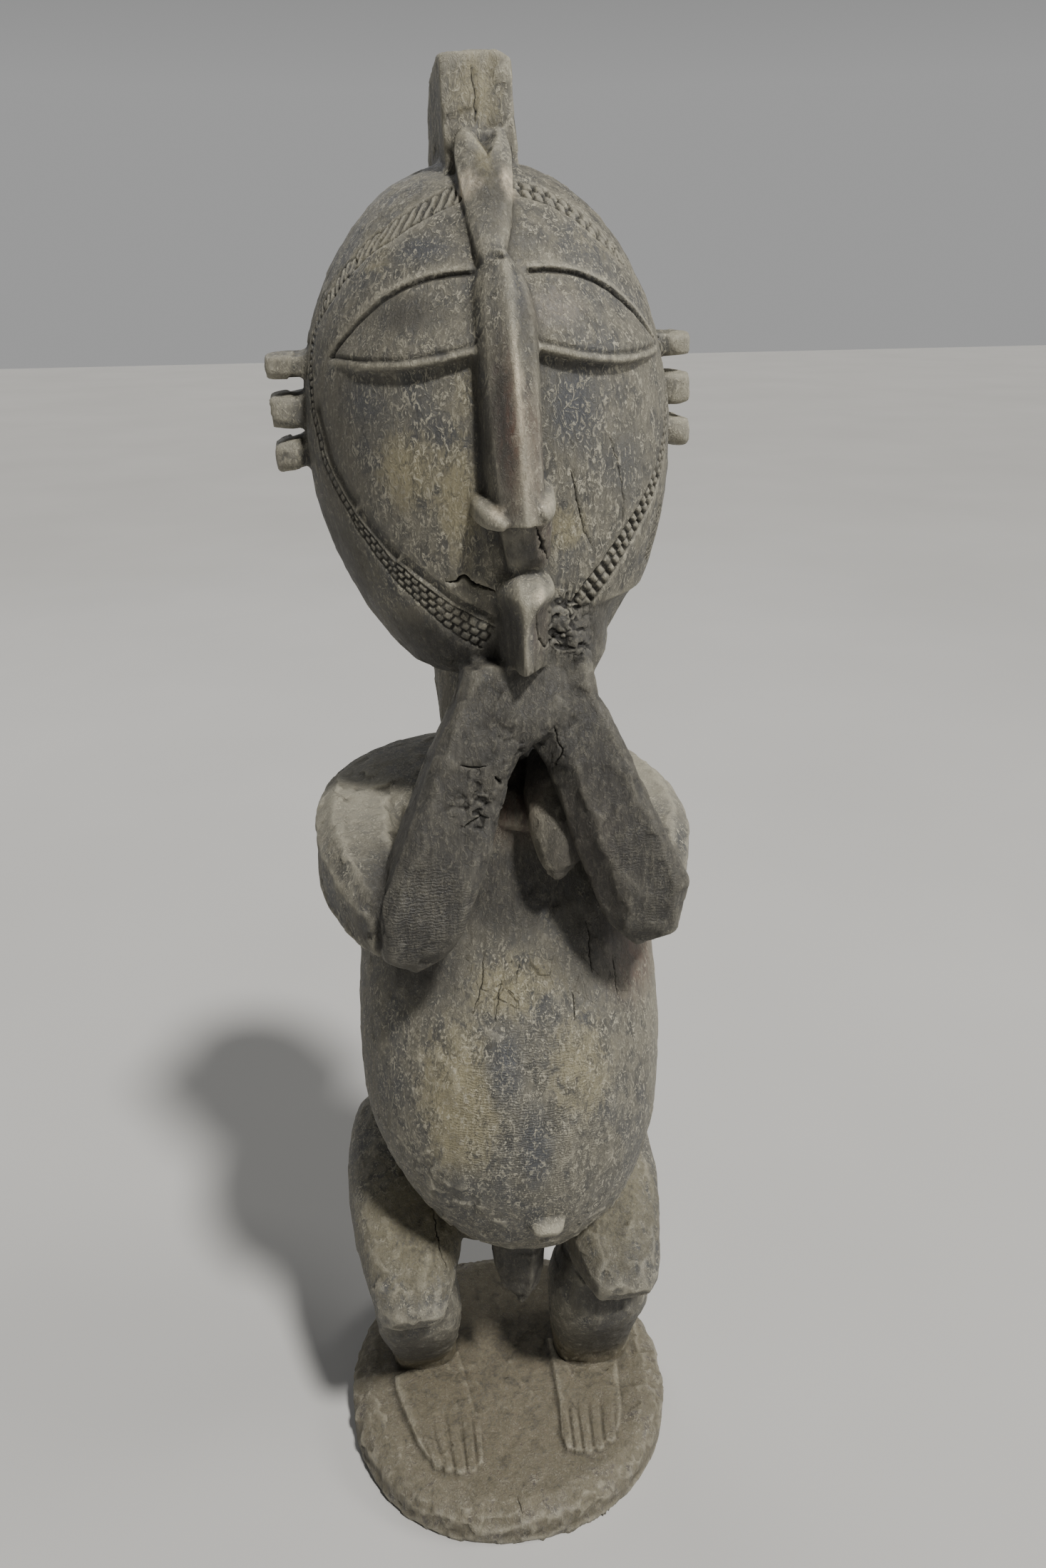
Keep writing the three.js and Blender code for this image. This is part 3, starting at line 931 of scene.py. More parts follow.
BODY_CRACKS = {
    "left hand": (0.75, 2.6, [(21, -130, 731), (22.7, -131.6, 725), (23, -132.5, 722), (26, -133.5, 717),
        (25, -133.3, 713), (21, -132, 706), (18, -128, 700)]),
    "right hand": (0.82, 2.2, [(-37, -137, 712.6), (-29, -137, 710.3), (-22.5, -137, 710.6)]),
    "right wrist": (1.36, 3.0, [(-17, -136, 704), (-14, -135, 698)]),
    "right forearm": (0.95, 2.4, [(-37, -142.5, 674), (-32, -142.3, 677), (-27, -141.5, 679)]),
    "belly 1": (0.54, 1.6, [(-23, -103, 561), (-24.5, -108.8, 543.8), (-26.6, -111.7, 534),
        (-33, -115.5, 518)]),
    "belly 2": (0.48, 1.4, [(-12, -111, 540), (-16.3, -117, 522.7), (-18, -120.5, 512)]),
    "belly 3": (0.41, 1.2, [(0.5, -108, 549), (-2.5, -113, 537)]),
    "belly 4": (0.61, 1.8, [(50, -95, 570), (51.9, -98, 562.6), (51.2, -102, 552), (52.4, -106.6, 536)]),
    "belly 5": (0.54, 1.5, [(37, -113.5, 528), (37.2, -120, 507)]),
    "belly 6": (0.48, 1.3, [(69, -97, 541), (70.4, -103, 523.4), (71.3, -107, 508)]),
    "thigh": (0.61, 2.2, [(-66, -50, 292), (-61.3, -77.9, 268), (-57, -84.4, 256)]),
    "base front": (0.54, 1.6, [(-10, -128, 36), (-8, -142, 34)]),
}

# Feet in low relief on the base. The instep has an outline, and a height at its outer and inner edge. Each
# toe is a ridge from its tip to its root, with a half width.
FEET = [
    {"outline": [(-43, 25), (-106, 5), (-105, -9), (-97, -41), (-90, -66), (-82, -82), (-74, -90),
                 (-64, -95.5), (-54, -98), (-44, -98), (-36, -94), (-34, -55)],
     "outer": 4.4, "inner": 1.2, "outer_x": -98, "inner_x": -38,
     "toes": [((-73, -88), (-84, -50), 5.6), ((-64.5, -93.5), (-71, -44), 4.9),
              ((-54.5, -96), (-57, -38), 5.6), ((-44.5, -96), (-44, -42), 5.0),
              ((-37.5, -92), (-35, -52), 3.6)]},
    {"outline": [(43, 25), (106, 0), (101, -30), (97, -60), (91, -78), (82, -88), (72, -95),
                 (60, -98.5), (48, -98), (39, -93), (37, -80), (41, -46), (42, -20)],
     "outer": 1.8, "inner": 3.4, "outer_x": 98, "inner_x": 40,
     "toes": [((42, -91), (45, -52), 4.2), ((49.5, -95), (53, -48), 4.3), ((58, -96.5), (62, -46), 5.0),
              ((68, -94.5), (73, -46), 5.4), ((79, -88), (86, -48), 6.2)]},
]


BAND_REACH = 14


def band_path(band):
    return leaned([head_point(z, degrees) for z, degrees in band["path"]])


def band_cut(band, points, normals):
    """Depth of the band's grooves at each vertex, and how far the vertex belongs to a groove."""
    band = PLAIN_BAND | band
    trace = Trace(band_path(band), points, normals, reach=BAND_REACH)
    share = np.clip(trace.along / trace.length, 0, 1)
    half = band["half"][0] * (1 - share) + band["half"][1] * share
    place = points[trace.index]
    wobble = 0.7 * noise(place, 8, 3)
    u = (trace.side + wobble) / half
    rows = band["rows"]
    level = (u + 1) / 2 * rows
    row = np.clip(np.floor(level), 0, rows - 1)
    to_row = np.abs(level - np.round(level)) * 2 * half / rows
    bend = band["slant"] * trace.side + 0.8 * noise(place, 6, 4)
    phase = (trace.along + bend) / band["pitch"] + band["shift"] * (row % 2)
    to_rung = np.abs(phase - np.round(phase)) * band["pitch"] / math.hypot(1, band["slant"])
    block = np.stack([np.floor(phase + 0.5), row, np.zeros(len(row))], 1)
    chance = lattice(block, int(band["pitch"] * 10) + rows)
    rung = 1 - ramp(to_rung, 0.4 * band["wide"], 1.2 * band["wide"])
    border = 1 - ramp(to_row, 0.25, 1.0)
    groove = np.maximum(rung, 0.8 * border)
    inside = (np.abs(u) < 1.0 + 0.5 / half) & trace.inside
    fade = 0.8 + 0.25 * noise(place, 7, 6)
    depth = band["depth"] * 1.15 * groove * fade + 0.3 * (chance + 1) * (1 - groove) - 0.5
    inward = band["dish"] * trace.side - half
    dish = 1.9 * abs(band["dish"]) * bell(inward - 4, 4) * (inward > 0) * ramp(inward, 0, 3)
    ends = ramp(share, 0, 0.06) * (1 - ramp(share, 0.94, 1))
    cut = trace.spread(np.where(inside, depth, dish * ends * trace.inside))
    return cut, trace.spread(np.where(inside, groove * fade, 0))


def crack_cut(widest, path, points, normals):
    """How far each vertex lies in a crack, from 0 at its borders to 1 in its middle."""
    trace = Trace(path, points, normals, reach=5, spacing=1.2)
    p = points[trace.index]
    wander = 0.8 * noise(p, 4, 7) + 0.4 * noise(p, 1.7, 8)
    share = np.clip(trace.along / trace.length, 0, 1)
    taper = np.sin(math.pi * np.clip(share, 0.02, 0.98)) ** 0.45
    width = widest * taper
    open_ = np.clip(1 - np.abs(trace.side + wander) / np.maximum(width, 0.05), 0, 1)
    return trace.spread(np.where(trace.inside, open_, 0))


def eye_line(side, lid):
    """The line of the brow or of the lower lid, always from the figure's right to its left."""
    places = []
    for t in np.linspace(0.0, 1.0, 15):
        x = eye_x(t)
        if lid:
            z = lid_z(t, side)
            places.append((side * x, face_y(x, z) - eye_stand(t, side), z + 0.6))
        else:
            z = brow_z(t)
            places.append((side * x, face_y(x, z) - 0.5, z))
    places = leaned(places)
    return places if side > 0 else places[::-1]


def rim(path, points, normals, ridge, groove):
    """Height of a raised rim with a groove beside it, and how far each vertex lies in the groove."""
    trace = Trace(path, points, normals, reach=8)
    side = trace.side + 0.35 * noise(points[trace.index], 6, 41)
    share = trace.along / trace.length
    ends = ramp(share, -0.01, 0.03) * (1 - ramp(share, 0.97, 1.01))
    up = bell(side - ridge[0], ridge[1])
    down = bell(side - groove[0], groove[1])
    return trace.spread(ends * (ridge[2] * up - groove[2] * down)), trace.spread(ends * down)


def from_segment(x, y, start, end, reach=1.0):
    """How far each place is along a line, where 1 is its end and `reach` the most, and its distance from
    that point of the line."""
    ex, ey = end[0] - start[0], end[1] - start[1]
    t = np.clip(((x - start[0]) * ex + (y - start[1]) * ey) / (ex * ex + ey * ey), 0, reach)
    return t, np.hypot(x - start[0] - t * ex, y - start[1] - t * ey)


def polygon_inset(outline, x, y):
    """Distance inside a closed outline, and negative outside it."""
    corners = np.array(outline, float)
    nearest = np.full(len(x), np.inf)
    inside = np.zeros(len(x), bool)
    for start, end in zip(corners, np.roll(corners, -1, axis=0)):
        nearest = np.minimum(nearest, from_segment(x, y, start, end)[1])
        rise = end[1] - start[1]
        where = start[0] + (y - start[1]) / (rise if rise != 0 else 1e-9) * (end[0] - start[0])
        inside ^= ((start[1] > y) != (end[1] > y)) & (x < where)
    return np.where(inside, nearest, -nearest)


def foot_height(x, y):
    """Height of the feet's relief over the base's top, and how dark the painted shadow is along the foot of
    each step.
    """
    height = np.zeros(len(x))
    groove = np.zeros(len(x))
    for foot in FEET:
        inset = polygon_inset(foot["outline"], x, y)
        share = np.clip((x - foot["inner_x"]) / (foot["outer_x"] - foot["inner_x"]), 0, 1)
        stand = foot["inner"] * (1 - share) + foot["outer"] * share
        instep = stand * ramp(inset, -0.9, 1.4)
        toes = np.zeros(len(x))
        gap = np.zeros(len(x))
        for tip, root, half in foot["toes"]:
            t, off = from_segment(x, y, tip, root, reach=1.6)
            off = off / half
            fade = 1 - ramp(t, 0.55, 1.2)
            toes = np.maximum(toes, (stand + 1.0 * fade) * np.clip(1 - off**3, 0, 1) ** 0.4 * (t < 1.2))
            gap = np.maximum(gap, fade * bell(off - 1, 0.18))
        inside = ramp(inset, 0.5, 3)
        height += np.maximum(instep, toes) - 0.75 * gap * inside
        # A painted shadow along the outside of each outline, darker where the step is taller.
        edge = bell(inset + 0.9, 1.0) * stand / 4
        groove = np.maximum(groove, 0.45 * edge)
    return height, groove


# From the rough union to the finished surface

BLEND_STRENGTH = 1.2
# Where parts run into each other with a soft hollow: (centre, radii)
BLENDS = [
    ((-72, 60, 320), (62, 75, 60)),
    ((76, 60, 320), (62, 75, 60)),
    ((4, 92, 392), (130, 50, 60)),
    ((0, 74, 560), (150, 66, 34)),
    ((-96, 50, 572), (40, 76, 30)),
    ((100, 50, 572), (40, 76, 30)),
    ((32, -96, 768), (34, 26, 36)),
    ((56, -74, 752), (36, 44, 34)),
    ((0, 34, 662), (80, 84, 26)),
    ((-90, 20, 634), (40, 56, 26)),
    ((92, 20, 634), (40, 56, 26)),
]


def smoothing_weight(points):
    """How strongly each place is smoothed where two limbs meet."""
    weight = spots(points, [(centre, radii, BLEND_STRENGTH) for centre, radii in BLENDS])
    skull = ramp(points[:, 2], 742, 762) * ramp(points[:, 1], -60, 0) * (1 - ramp(points[:, 2], 1025, 1035))
    weight = np.maximum(weight, 0.1 * skull * (1 - ramp(np.abs(points[:, 0]), 106, 112)))
    return np.clip(weight, 0, 1)


# Where the chisel's marks show most: (centre, radii, amount)
CHISELLED = [
    ((10, -80, 318), (120, 90, 56), 2.6),
    ((-70, -130, 370), (60, 60, 70), 2.2),
    ((-100, -20, 630), (44, 70, 50), 1.6),
    ((100, -20, 630), (44, 70, 50), 1.6),
    ((0, -148, 20), (160, 50, 24), 1.7),
    ((0, 148, 20), (160, 50, 24), 1.7),
    ((-148, 0, 20), (50, 160, 24), 1.7),
    ((148, 0, 20), (50, 160, 24), 1.7),
    ((-84, -70, 240), (56, 70, 60), 1.8),
    ((84, -70, 240), (56, 70, 60), 1.8),
    ((0, 40, 1040), (60, 120, 60), 0.9),
]
TILT = 0.07  # how far a chisel cut leans away from the surface
CUT_SPACING = 15
CUT_STRENGTH = 0.7  # of the facets away from the CHISELLED places
CUT_SEED = 5


def tool_facets(points, normals, spacing, seed):
    """Each vertex moves towards the tangent plane of the nearest tool mark, which leaves shallow facets."""
    cells = np.floor(points / spacing).astype(np.int64)
    order = np.argsort(lattice(cells, seed) + 1e-3 * noise(points, 1.0, seed))
    _, first = np.unique(cells[order], axis=0, return_index=True)
    marks = order[first]
    tree = kdtree.KDTree(len(marks))
    for i, v in enumerate(marks):
        tree.insert(points[v], i)
    tree.balance()
    nearest = np.array([tree.find(p)[1] for p in points])
    leaning = np.stack([lattice(cells[marks], seed + 1 + k) for k in range(3)], 1)
    facing = normals[marks] + TILT * leaning
    mark = marks[nearest]
    away = points[mark] - points
    # A cut stops where the surface turns away from it, so that edges stay crisp.
    same_side = ramp((normals * normals[mark]).sum(1), 0.45, 0.85)
    plane = (away * facing[nearest]).sum(1) * same_side
    radius = np.linalg.norm(away, axis=1) / spacing
    return np.clip(plane, -1.2, 1.2), np.clip(1 - radius**2, 0, 1)


def refine(mesh, near):
    """Cuts every face that touches a marked vertex into four."""
    work = bmesh.new()
    work.from_mesh(mesh)
    work.verts.ensure_lookup_table()
    edges = set()
    for i in np.nonzero(near)[0].tolist():
        for face in work.verts[i].link_faces:
            edges.update(face.edges)
    bmesh.ops.subdivide_edges(work, edges=list(edges), cuts=1, use_grid_fill=True)
    bmesh.ops.triangulate(work, faces=[face for face in work.faces if len(face.verts) > 4])
    work.to_mesh(mesh)
    work.free()


def crack_paths():
    for width, depth, path in HEAD_CRACKS.values():
        yield width, depth, leaned(path)
    for width, depth, path in BODY_CRACKS.values():
        yield width, depth, np.array(path, float)


def close_to_detail(points, normals, level):
    """Vertices that need a finer mesh: at level 1 on the band, eyes, toes, split wood and cracks, and at
    level 2 only on the cracks."""
    near = np.zeros(len(points), bool)
    for _, _, path in crack_paths():
        trace = Trace(path, points, normals, reach=5.5 if level == 1 else 3.5)
        near[trace.index[trace.inside]] = True
    if level > 1:
        return near
    for band in BANDS:
        trace = Trace(band_path(band), points, normals, reach=BAND_REACH)
        near[trace.index[(np.abs(trace.side) < max(band["half"]) + 1.5) & trace.inside]] = True
    for side in (-1, 1):
        for lid in (False, True):
            near[Trace(eye_line(side, lid), points, normals, reach=6).index] = True
    toes = (points[:, 2] > BASE_THICKNESS - 3) & (points[:, 2] < BASE_THICKNESS + 6)
    near |= toes & (points[:, 1] < -50)
    near |= split_wood(points)[0] > 0.3
    return near


def cell_edges(points, where, size, seed):
    """1 on the borders of irregular cells about `size` across, for the vertices in `where`."""
    place = points[where] / size
    low = np.floor(place.min(0)).astype(int) - 1
    high = np.floor(place.max(0)).astype(int) + 2
    grid = np.stack(np.meshgrid(*[np.arange(a, b) for a, b in zip(low, high)], indexing="ij"), -1)
    cells = grid.reshape(-1, 3)
    seeds = cells + 0.5 + 0.45 * np.stack([lattice(cells, seed + k) for k in range(3)], 1)
    tree = kdtree.KDTree(len(seeds))
    for i, at in enumerate(seeds):
        tree.insert(at, i)
    tree.balance()
    lines = np.zeros(len(points))
    gaps = []
    for at in place:
        (_, _, near), (_, _, far) = tree.find_n(at, 2)
        gaps.append(far - near)
    lines[where] = 1 - ramp(np.array(gaps), 0.0, 0.14)
    return lines


def split_wood(points):
    """How rough and split the wood is: beside the chin, on the hands and on the right wrist. What it is
    beside the chin also comes alone."""
    rough = ball(upright(points), (30, -114, 788), (30, 30, 34))
    hand = ball(points, (4, -134, 716), (56, 34, 34))
    wrist = ball(points, (-26, -142, 690), (30, 20, 36))
    return np.clip(np.maximum(1.6 * rough, np.maximum(0.6 * hand, 1.2 * wrist)), 0, 1), rough


# Ridges and grooves of the brow and lower lid: (offset, half width, amount)
BROW_RIDGE = (-1.8, 1.6, 2.1)
BROW_GROOVE = (1.7, 1.4, 2.8)
RIGHT_BROW_GROOVE = (1.7, 1.4, 2.3)
LID_RIDGE = (0.0, 1.5, 2.0)
LID_GROOVE = (-3.2, 1.2, 1.2)


def carve(points, normals):
    """How deep the carved and worn detail cuts in at each vertex, the mask of the cuts, where the material
    paints shade, and the mask of wear.
    """
    count = len(points)
    head = upright(points)
    cut_mask = np.zeros(count)
    worn = np.zeros(count)
    depth = np.zeros(count)

    for band in BANDS:
        cut, groove = band_cut(band, points, normals)
        depth = np.where(np.abs(cut) > np.abs(depth), cut, depth)
        cut_mask = np.maximum(cut_mask, 0.9 * groove)

    # A raised brow over a groove, and a rolled lower lid under one
    for side in (-1, 1):
        brow_groove = RIGHT_BROW_GROOVE if side < 0 else BROW_GROOVE
        brow, groove = rim(eye_line(side, False), points, normals, BROW_RIDGE, brow_groove)
        lid, crease = rim(eye_line(side, True), points, normals, LID_RIDGE, LID_GROOVE)
        depth = depth - brow - lid
        cut_mask = np.maximum(cut_mask, np.maximum(0.85 * groove, 0.5 * crease))
        worn = np.maximum(worn, np.maximum(brow / BROW_RIDGE[2], lid / LID_RIDGE[2]))

    for width, deepest, path in crack_paths():
        open_ = crack_cut(width, path, points, normals)
        depth = np.maximum(depth, deepest * open_)
        cut_mask = np.maximum(cut_mask, np.minimum(1, 1.6 * open_))

    # The hollow below the mouth's line
    depth = depth + 3.2 * ball(head, (-27, -111, 800), (24, 14, 12))

    split, rough = split_wood(points)
    lumps = noise(points, (6, 6, 8), 11) + 0.6 * noise(points, 3, 12)
    warped = points + 2.2 * np.stack([noise(points, 4, 16 + k) for k in range(3)], 1)
    where = np.nonzero(split > 0.05)[0]
    lines = cell_edges(warped, where, np.array([6, 6, 10]), 14)
    lines = lines * ramp(noise(points, 7, 15) + 0.4 * rough, 0.0, 0.3)
    pits = ramp(noise(warped, (4.4, 4.4, 2.6), 18) + 0.3 * rough, 0.3, 0.46)
    pits = pits * ramp(noise(points, 9, 19) + 0.8 * rough, -0.1, 0.3)
    depth = depth + split * (0.8 * lumps + 1.2 * lines + 1.6 * pits)
    cut_mask = np.maximum(cut_mask, 0.95 * np.sqrt(split) * np.maximum(0.85 * lines, pits))

    # The ring round the breast's tip
    tip = points - np.array(LEFT_BREAST[-1][:3])
    ring = bell(np.linalg.norm(tip, axis=1) - 9.5, 1.1)
    depth = depth + 0.9 * ring * ball(points, (25, -116, 625), (18, 18, 18))

    # The V notch in the keel's top, and the gap between its foot and the nose
    rise = head[:, 2] - KEEL_TOP
    flare = 1.0 + 0.75 * np.clip(rise + 15, 0, 20)
    on_keel = ramp(rise, -18, -12) * (1 - ramp(rise, 1, 3)) * ramp(-head[:, 1], 39, 42)
    notch = np.clip(1 - np.abs(head[:, 0] - 2) / flare, 0, 1) * on_keel
    gap = ball(head, (-4, -108, 994.5), (13, 9, 3.0))
    depth = depth + 4.2 * notch + 3.0 * gap
    cut_mask = np.maximum(cut_mask, np.maximum(0.8 * gap, 0.35 * notch))

    # The corner of the jaw on the figure's left is cut away underneath
    jaw = ramp(799 - head[:, 2], 0, 4) * ball(head, (66, -70, 782), (34, 50, 26)) ** 0.6
    depth = depth + 8 * jaw
    return depth, cut_mask, worn


def weather(points):
    """Low waves and chips that every old surface has."""
    low = 0.5 * noise(points, (26, 26, 40), 21) + 0.22 * noise(points, (9, 9, 16), 22)
    fine = 0.10 * noise(points, (3.5, 3.5, 6), 23)
    return low * (1 - 0.55 * on_face(points, 760)) + fine


def finish_base(points, normals, cut_mask):
    """Gives the points the relief of the feet, the worn rim and a flat underside, and adds the painted
    shadow along the feet's steps to the mask of cuts.
    """
    x, y, z = points.T
    top = ramp(normals[:, 2], 0.5, 0.9) * (z > BASE_THICKNESS - 5) * (z < BASE_THICKNESS + 3)
    height, groove = foot_height(x, y)
    points[:, 2] += top * height
    # painted shadow along the feet's steps
    cut_mask[:] = np.maximum(cut_mask, top * groove)
    radius = np.hypot(x, y)
    outer = ramp(radius, LOG_RADIUS - 24, LOG_RADIUS - 10) * (z < BASE_THICKNESS + 1) * ramp(z, 4, 12)
    chip = 1.5 * noise(points, (16, 16, 9), 31) + 0.9 * noise(points, (6, 6, 5), 32) + 1.6
    out = np.stack([x, y, np.zeros(len(x))], 1) / np.maximum(radius, 1)[:, None]
    points -= out * (outer * np.maximum(chip, 0.6))[:, None]
    under = (normals[:, 2] < -0.6) & (points[:, 2] < 4)
    points[under, 2] = 0
    points[:, 2] = np.maximum(points[:, 2], 0)


ZONE_FALL = 0.7  # below 1, so that a colour holds further out before it falls away
# Where the wood's colour changes, and where shade and light are painted on it: (centre, radii, amount). Head
# zones are in the head's upright frame.
BODY_ZONES = {
    # dark, handled wood, and painted shade under the chin and arms, beneath the belly and knees, and on the
    # calves and thighs
    "dark": [
        ((-56, -140, 640), (66, 76, 140), 1.6),
        ((62, -140, 640), (66, 76, 140), 1.6),
        ((5, -130, 722), (90, 66, 66), 1.5),
        ((5, -60, 690), (60, 70, 60), 1.3),
        ((-90, -30, 110), (60, 90, 110), 0.8),
        ((90, -30, 110), (60, 90, 110), 0.8),
        ((8, -50, 220), (60, 60, 90), 1.0),
        ((-80, -72, 190), (46, 44, 34), 0.9),
        ((80, -72, 186), (46, 44, 34), 0.9),
        ((66, -95, 560), (60, 60, 60), 0.9),
        ((-70, -95, 560), (50, 60, 60), 0.9),
        ((0, -95, 600), (80, 40, 50), 1.0),
        ((0, 0, 20), (300, 300, 70), 0.5),
        ((0, 60, 480), (130, 110, 200), 0.5),
        ((-60, -40, 300), (50, 80, 60), 0.4),
        ((-80, -60, 260), (70, 90, 80), 0.5),
        ((80, -60, 260), (70, 90, 80), 0.62),
    ],
    # red-brown wood
    "red": [
        ((8, -90, 662), (50, 30, 40), 1.0),
        ((84, -70, 540), (44, 60, 60), 0.8),
        ((40, -135, 640), (40, 30, 80), 0.35),
        ((0, 0, 30), (260, 260, 60), 0.3),
    ],
    # bleached wood, and painted light on the breast, the shoulders' tops and the belly's right side
    "pale": [
        ((27, -108, 645), (28, 30, 48), 1.2),
        ((-104, -20, 640), (50, 80, 34), 0.9),
        ((106, -20, 640), (50, 80, 34), 0.9),
        ((16, -142, 334), (18, 12, 14), 1.0),
        ((104, -50, 450), (30, 60, 120), 0.55),
    ],
    # blue-grey bloom
    "slate": [
        ((-14, -138, 485), (26, 40, 60), 1.0),
        ((6, -142, 415), (22, 40, 66), 1.0),
        ((-40, -130, 380), (40, 40, 40), 0.7),
        ((60, -110, 360), (50, 50, 50), 0.6),
        ((-96, 0, 280), (30, 60, 40), 0.6),
        ((-112, -20, 600), (30, 50, 30), 0.8),
        ((80, 60, 500), (60, 80, 120), 0.7),
        ((-90, 60, 420), (60, 80, 100), 0.7),
    ],
    # yellow straw colour
    "straw": [
        ((-45, -125, 450), (50, 50, 110), 1.0),
        ((40, -125, 470), (40, 50, 70), 0.8),
        ((-5, -115, 535), (60, 40, 40), 0.8),
        ((-80, -50, 270), (66, 90, 80), 1.2),
        ((80, -50, 270), (66, 90, 80), 1.1),
        ((0, 0, 30), (330, 330, 90), 0.95),
    ],
    # fine rasp marks
    "rasp": [
        ((0, -135, 430), (85, 50, 130), 1.0),
        ((-64, -145, 612), (40, 34, 56), 1.4),
        ((70, -145, 620), (40, 34, 60), 0.7),
        ((-80, -60, 245), (50, 60, 50), 0.8),
        ((80, -60, 245), (50, 60, 50), 0.8),
    ],
    # rubbed smooth and shiny, and pale where worn; on the head the same mask also paints highlights
    "polish_and_glint": [],
    # a net of fine cracks
    "crazed": [
        ((-6, -112, 535), (60, 40, 44), 1.0),
        ((60, -100, 540), (50, 50, 50), 0.7),
        ((-110, -40, 642), (40, 60, 20), 0.8),
    ],
}
HEAD_ZONES = {
    # dark wood, and painted shade on the sides of the nose and chin turned from the light, on the septum and
    # under the jaw
    "dark": [
        ((-50, -95, 770), (70, 60, 34), 1.1),
        ((-100, -40, 820), (40, 60, 70), 0.7),
        ((30, -105, 780), (60, 50, 34), 0.8),
        ((-12, -132, 787), (11, 30, 34), 1.4),
        ((9, -130, 798), (10, 20, 17), 0.7),
        ((3, -120, 845), (20, 30, 22), 1.2),
        ((-19, -125, 915), (6, 26, 60), 1.0),
        ((-60, -100, 968), (40, 40, 16), 0.7),
        ((10, -120, 960), (14, 30, 40), 0.5),
        ((-9, -138, 915), (9, 30, 74), 0.75),
        ((0, -70, 1020), (18, 40, 50), 0.6),
        ((-85, -60, 900), (50, 70, 90), 0.4),
        ((0, 40, 900), (140, 110, 160), 0.5),
    ],
    "red": [
        ((-5, -140, 910), (11, 30, 62), 1.0),
        ((9, -136, 900), (9, 26, 44), 0.4),
        ((8, -132, 795), (12, 20, 26), 0.35),
        ((12, -125, 845), (9, 26, 20), 0.8),
    ],
    # pale wood, and painted light on the tops of the lips and the nostrils
    "pale": [
        ((4, -146, 822), (20, 22, 12), 0.8),
        ((15, -126, 866), (14, 26, 12), 0.5),
        ((-19, -124, 864), (12, 26, 10), 0.4),
        ((0, -36, 1085), (26, 20, 30), 0.35),
        ((-125, 0, 912), (16, 34, 44), 0.45),
        ((123, 0, 912), (16, 34, 44), 0.45),
    ],
    "slate": [
        ((-45, -85, 1000), (36, 40, 16), 1.0),
        ((18, -95, 1003), (20, 30, 14), 0.8),
        ((32, -112, 968), (30, 30, 20), 1.0),
        ((75, -95, 970), (24, 40, 24), 0.6),
        ((-84, -95, 922), (30, 40, 30), 0.9),
        ((-52, -110, 932), (24, 30, 18), 0.8),
        ((34, -114, 915), (26, 30, 40), 1.0),
        ((70, -105, 880), (34, 40, 40), 0.7),
        ((6, -118, 975), (13, 24, 20), 0.9),
        ((-80, -80, 850), (24, 50, 30), 0.6),
    ],
    "straw": [
        ((-62, -108, 885), (34, 30, 36), 1.0),
        ((-34, -114, 870), (20, 30, 60), 1.0),
        ((-22, -112, 925), (14, 30, 22), 0.8),
        ((26, -112, 848), (26, 30, 24), 0.9),
        ((-75, -70, 1000), (40, 50, 24), 0.7),
        ((60, -80, 1002), (40, 50, 20), 0.5),
        ((-1, -60, 1045), (8, 40, 40), 1.0),
        ((0, -36, 1080), (26, 20, 34), 0.9),
    ],
    "rasp": [],
    # smoother and pale: worn raw wood along the nose's edge, and painted highlights on the lips and the
    # nostrils' tips
    "polish_and_glint": [
        ((0.8, -138, 935), (2.0, 20, 44), 1.1),
        ((4, -140, 880), (7, 30, 40), 0.3),
        ((-15, -138, 863), (5, 12, 6), 1.2),
        ((13, -137, 865), (6, 8, 6), 0.9),
        ((8, -146, 817), (7, 9, 6), 1.6),
        ((-13, -67, 1031), (7, 14, 11), 1.4),
        ((12, -67, 1031), (7, 14, 11), 1.5),
        ((30, -112, 968), (26, 30, 16), 0.35),
    ],
    "crazed": [((-20, -112, 860), (8, 20, 40), 0.8)],
}


def zone(name, points, head):
    body = spots(points, BODY_ZONES[name], ZONE_FALL)
    return np.clip(np.maximum(body, spots(head, HEAD_ZONES[name], ZONE_FALL)), 0, 1)


def tones(points, cut_mask, worn, cavity):
    """Three colour layers of four masks each, for the material; besides the wood's colours they hold painted
    shade and painted light. The last mask of the third layer is a filler.
    """
    head = upright(points)
    # Painted shade: near black in the cuts and cracks, and darker in the hollows of the surface.
    crease_shade = np.clip(np.maximum(cut_mask, 0.5 * ramp(cavity, 0.1, 0.8)), 0, 1)
    edge = ramp(-cavity, 0.15, 0.6)
    made = {name: zone(name, points, head) for name in BODY_ZONES}
    layers = {
        "tone": (crease_shade, made["dark"], made["red"], made["pale"]),
        "bloom": (made["slate"], made["straw"], edge, made["rasp"]),
        "wear_and_glint": (made["polish_and_glint"], made["crazed"], np.clip(worn, 0, 1), np.ones(len(points))),
    }
    return {name: np.stack(masks, 1) for name, masks in layers.items()}


def chiselled(points, normals, edges):
    """The points with the shallow facets of the tool on them."""
    plane, scallop = tool_facets(points, normals, CUT_SPACING, CUT_SEED)
    strength = CUT_STRENGTH * (1 - 0.8 * on_face(points, 750))
    strength = np.maximum(strength, spots(points, CHISELLED, 0.5))
    strength = strength * (1 - ball(points, NAVEL, (36, 30, 34)) ** 0.3)
    points = points + normals * (strength * (plane - 0.22 * scallop))[:, None]
    return smooth_points(points, edges, np.full(len(points), 0.5), 1)


def paint(mesh, points, cut_mask, worn):
    """Stores the masks that the material reads."""
    edges = read_edges(mesh)
    smooth = points
    for _ in range(CAVITY_ROUNDS):
        smooth = averaged(smooth, edges)
    cavity = ((smooth - points) * read_normals(mesh)).sum(1)
    for name, masks in tones(points, cut_mask, worn, cavity).items():
        layer = mesh.attributes.new(name, "FLOAT_COLOR", "POINT")
        layer.data.foreach_set("color", masks.astype(np.float32).ravel())


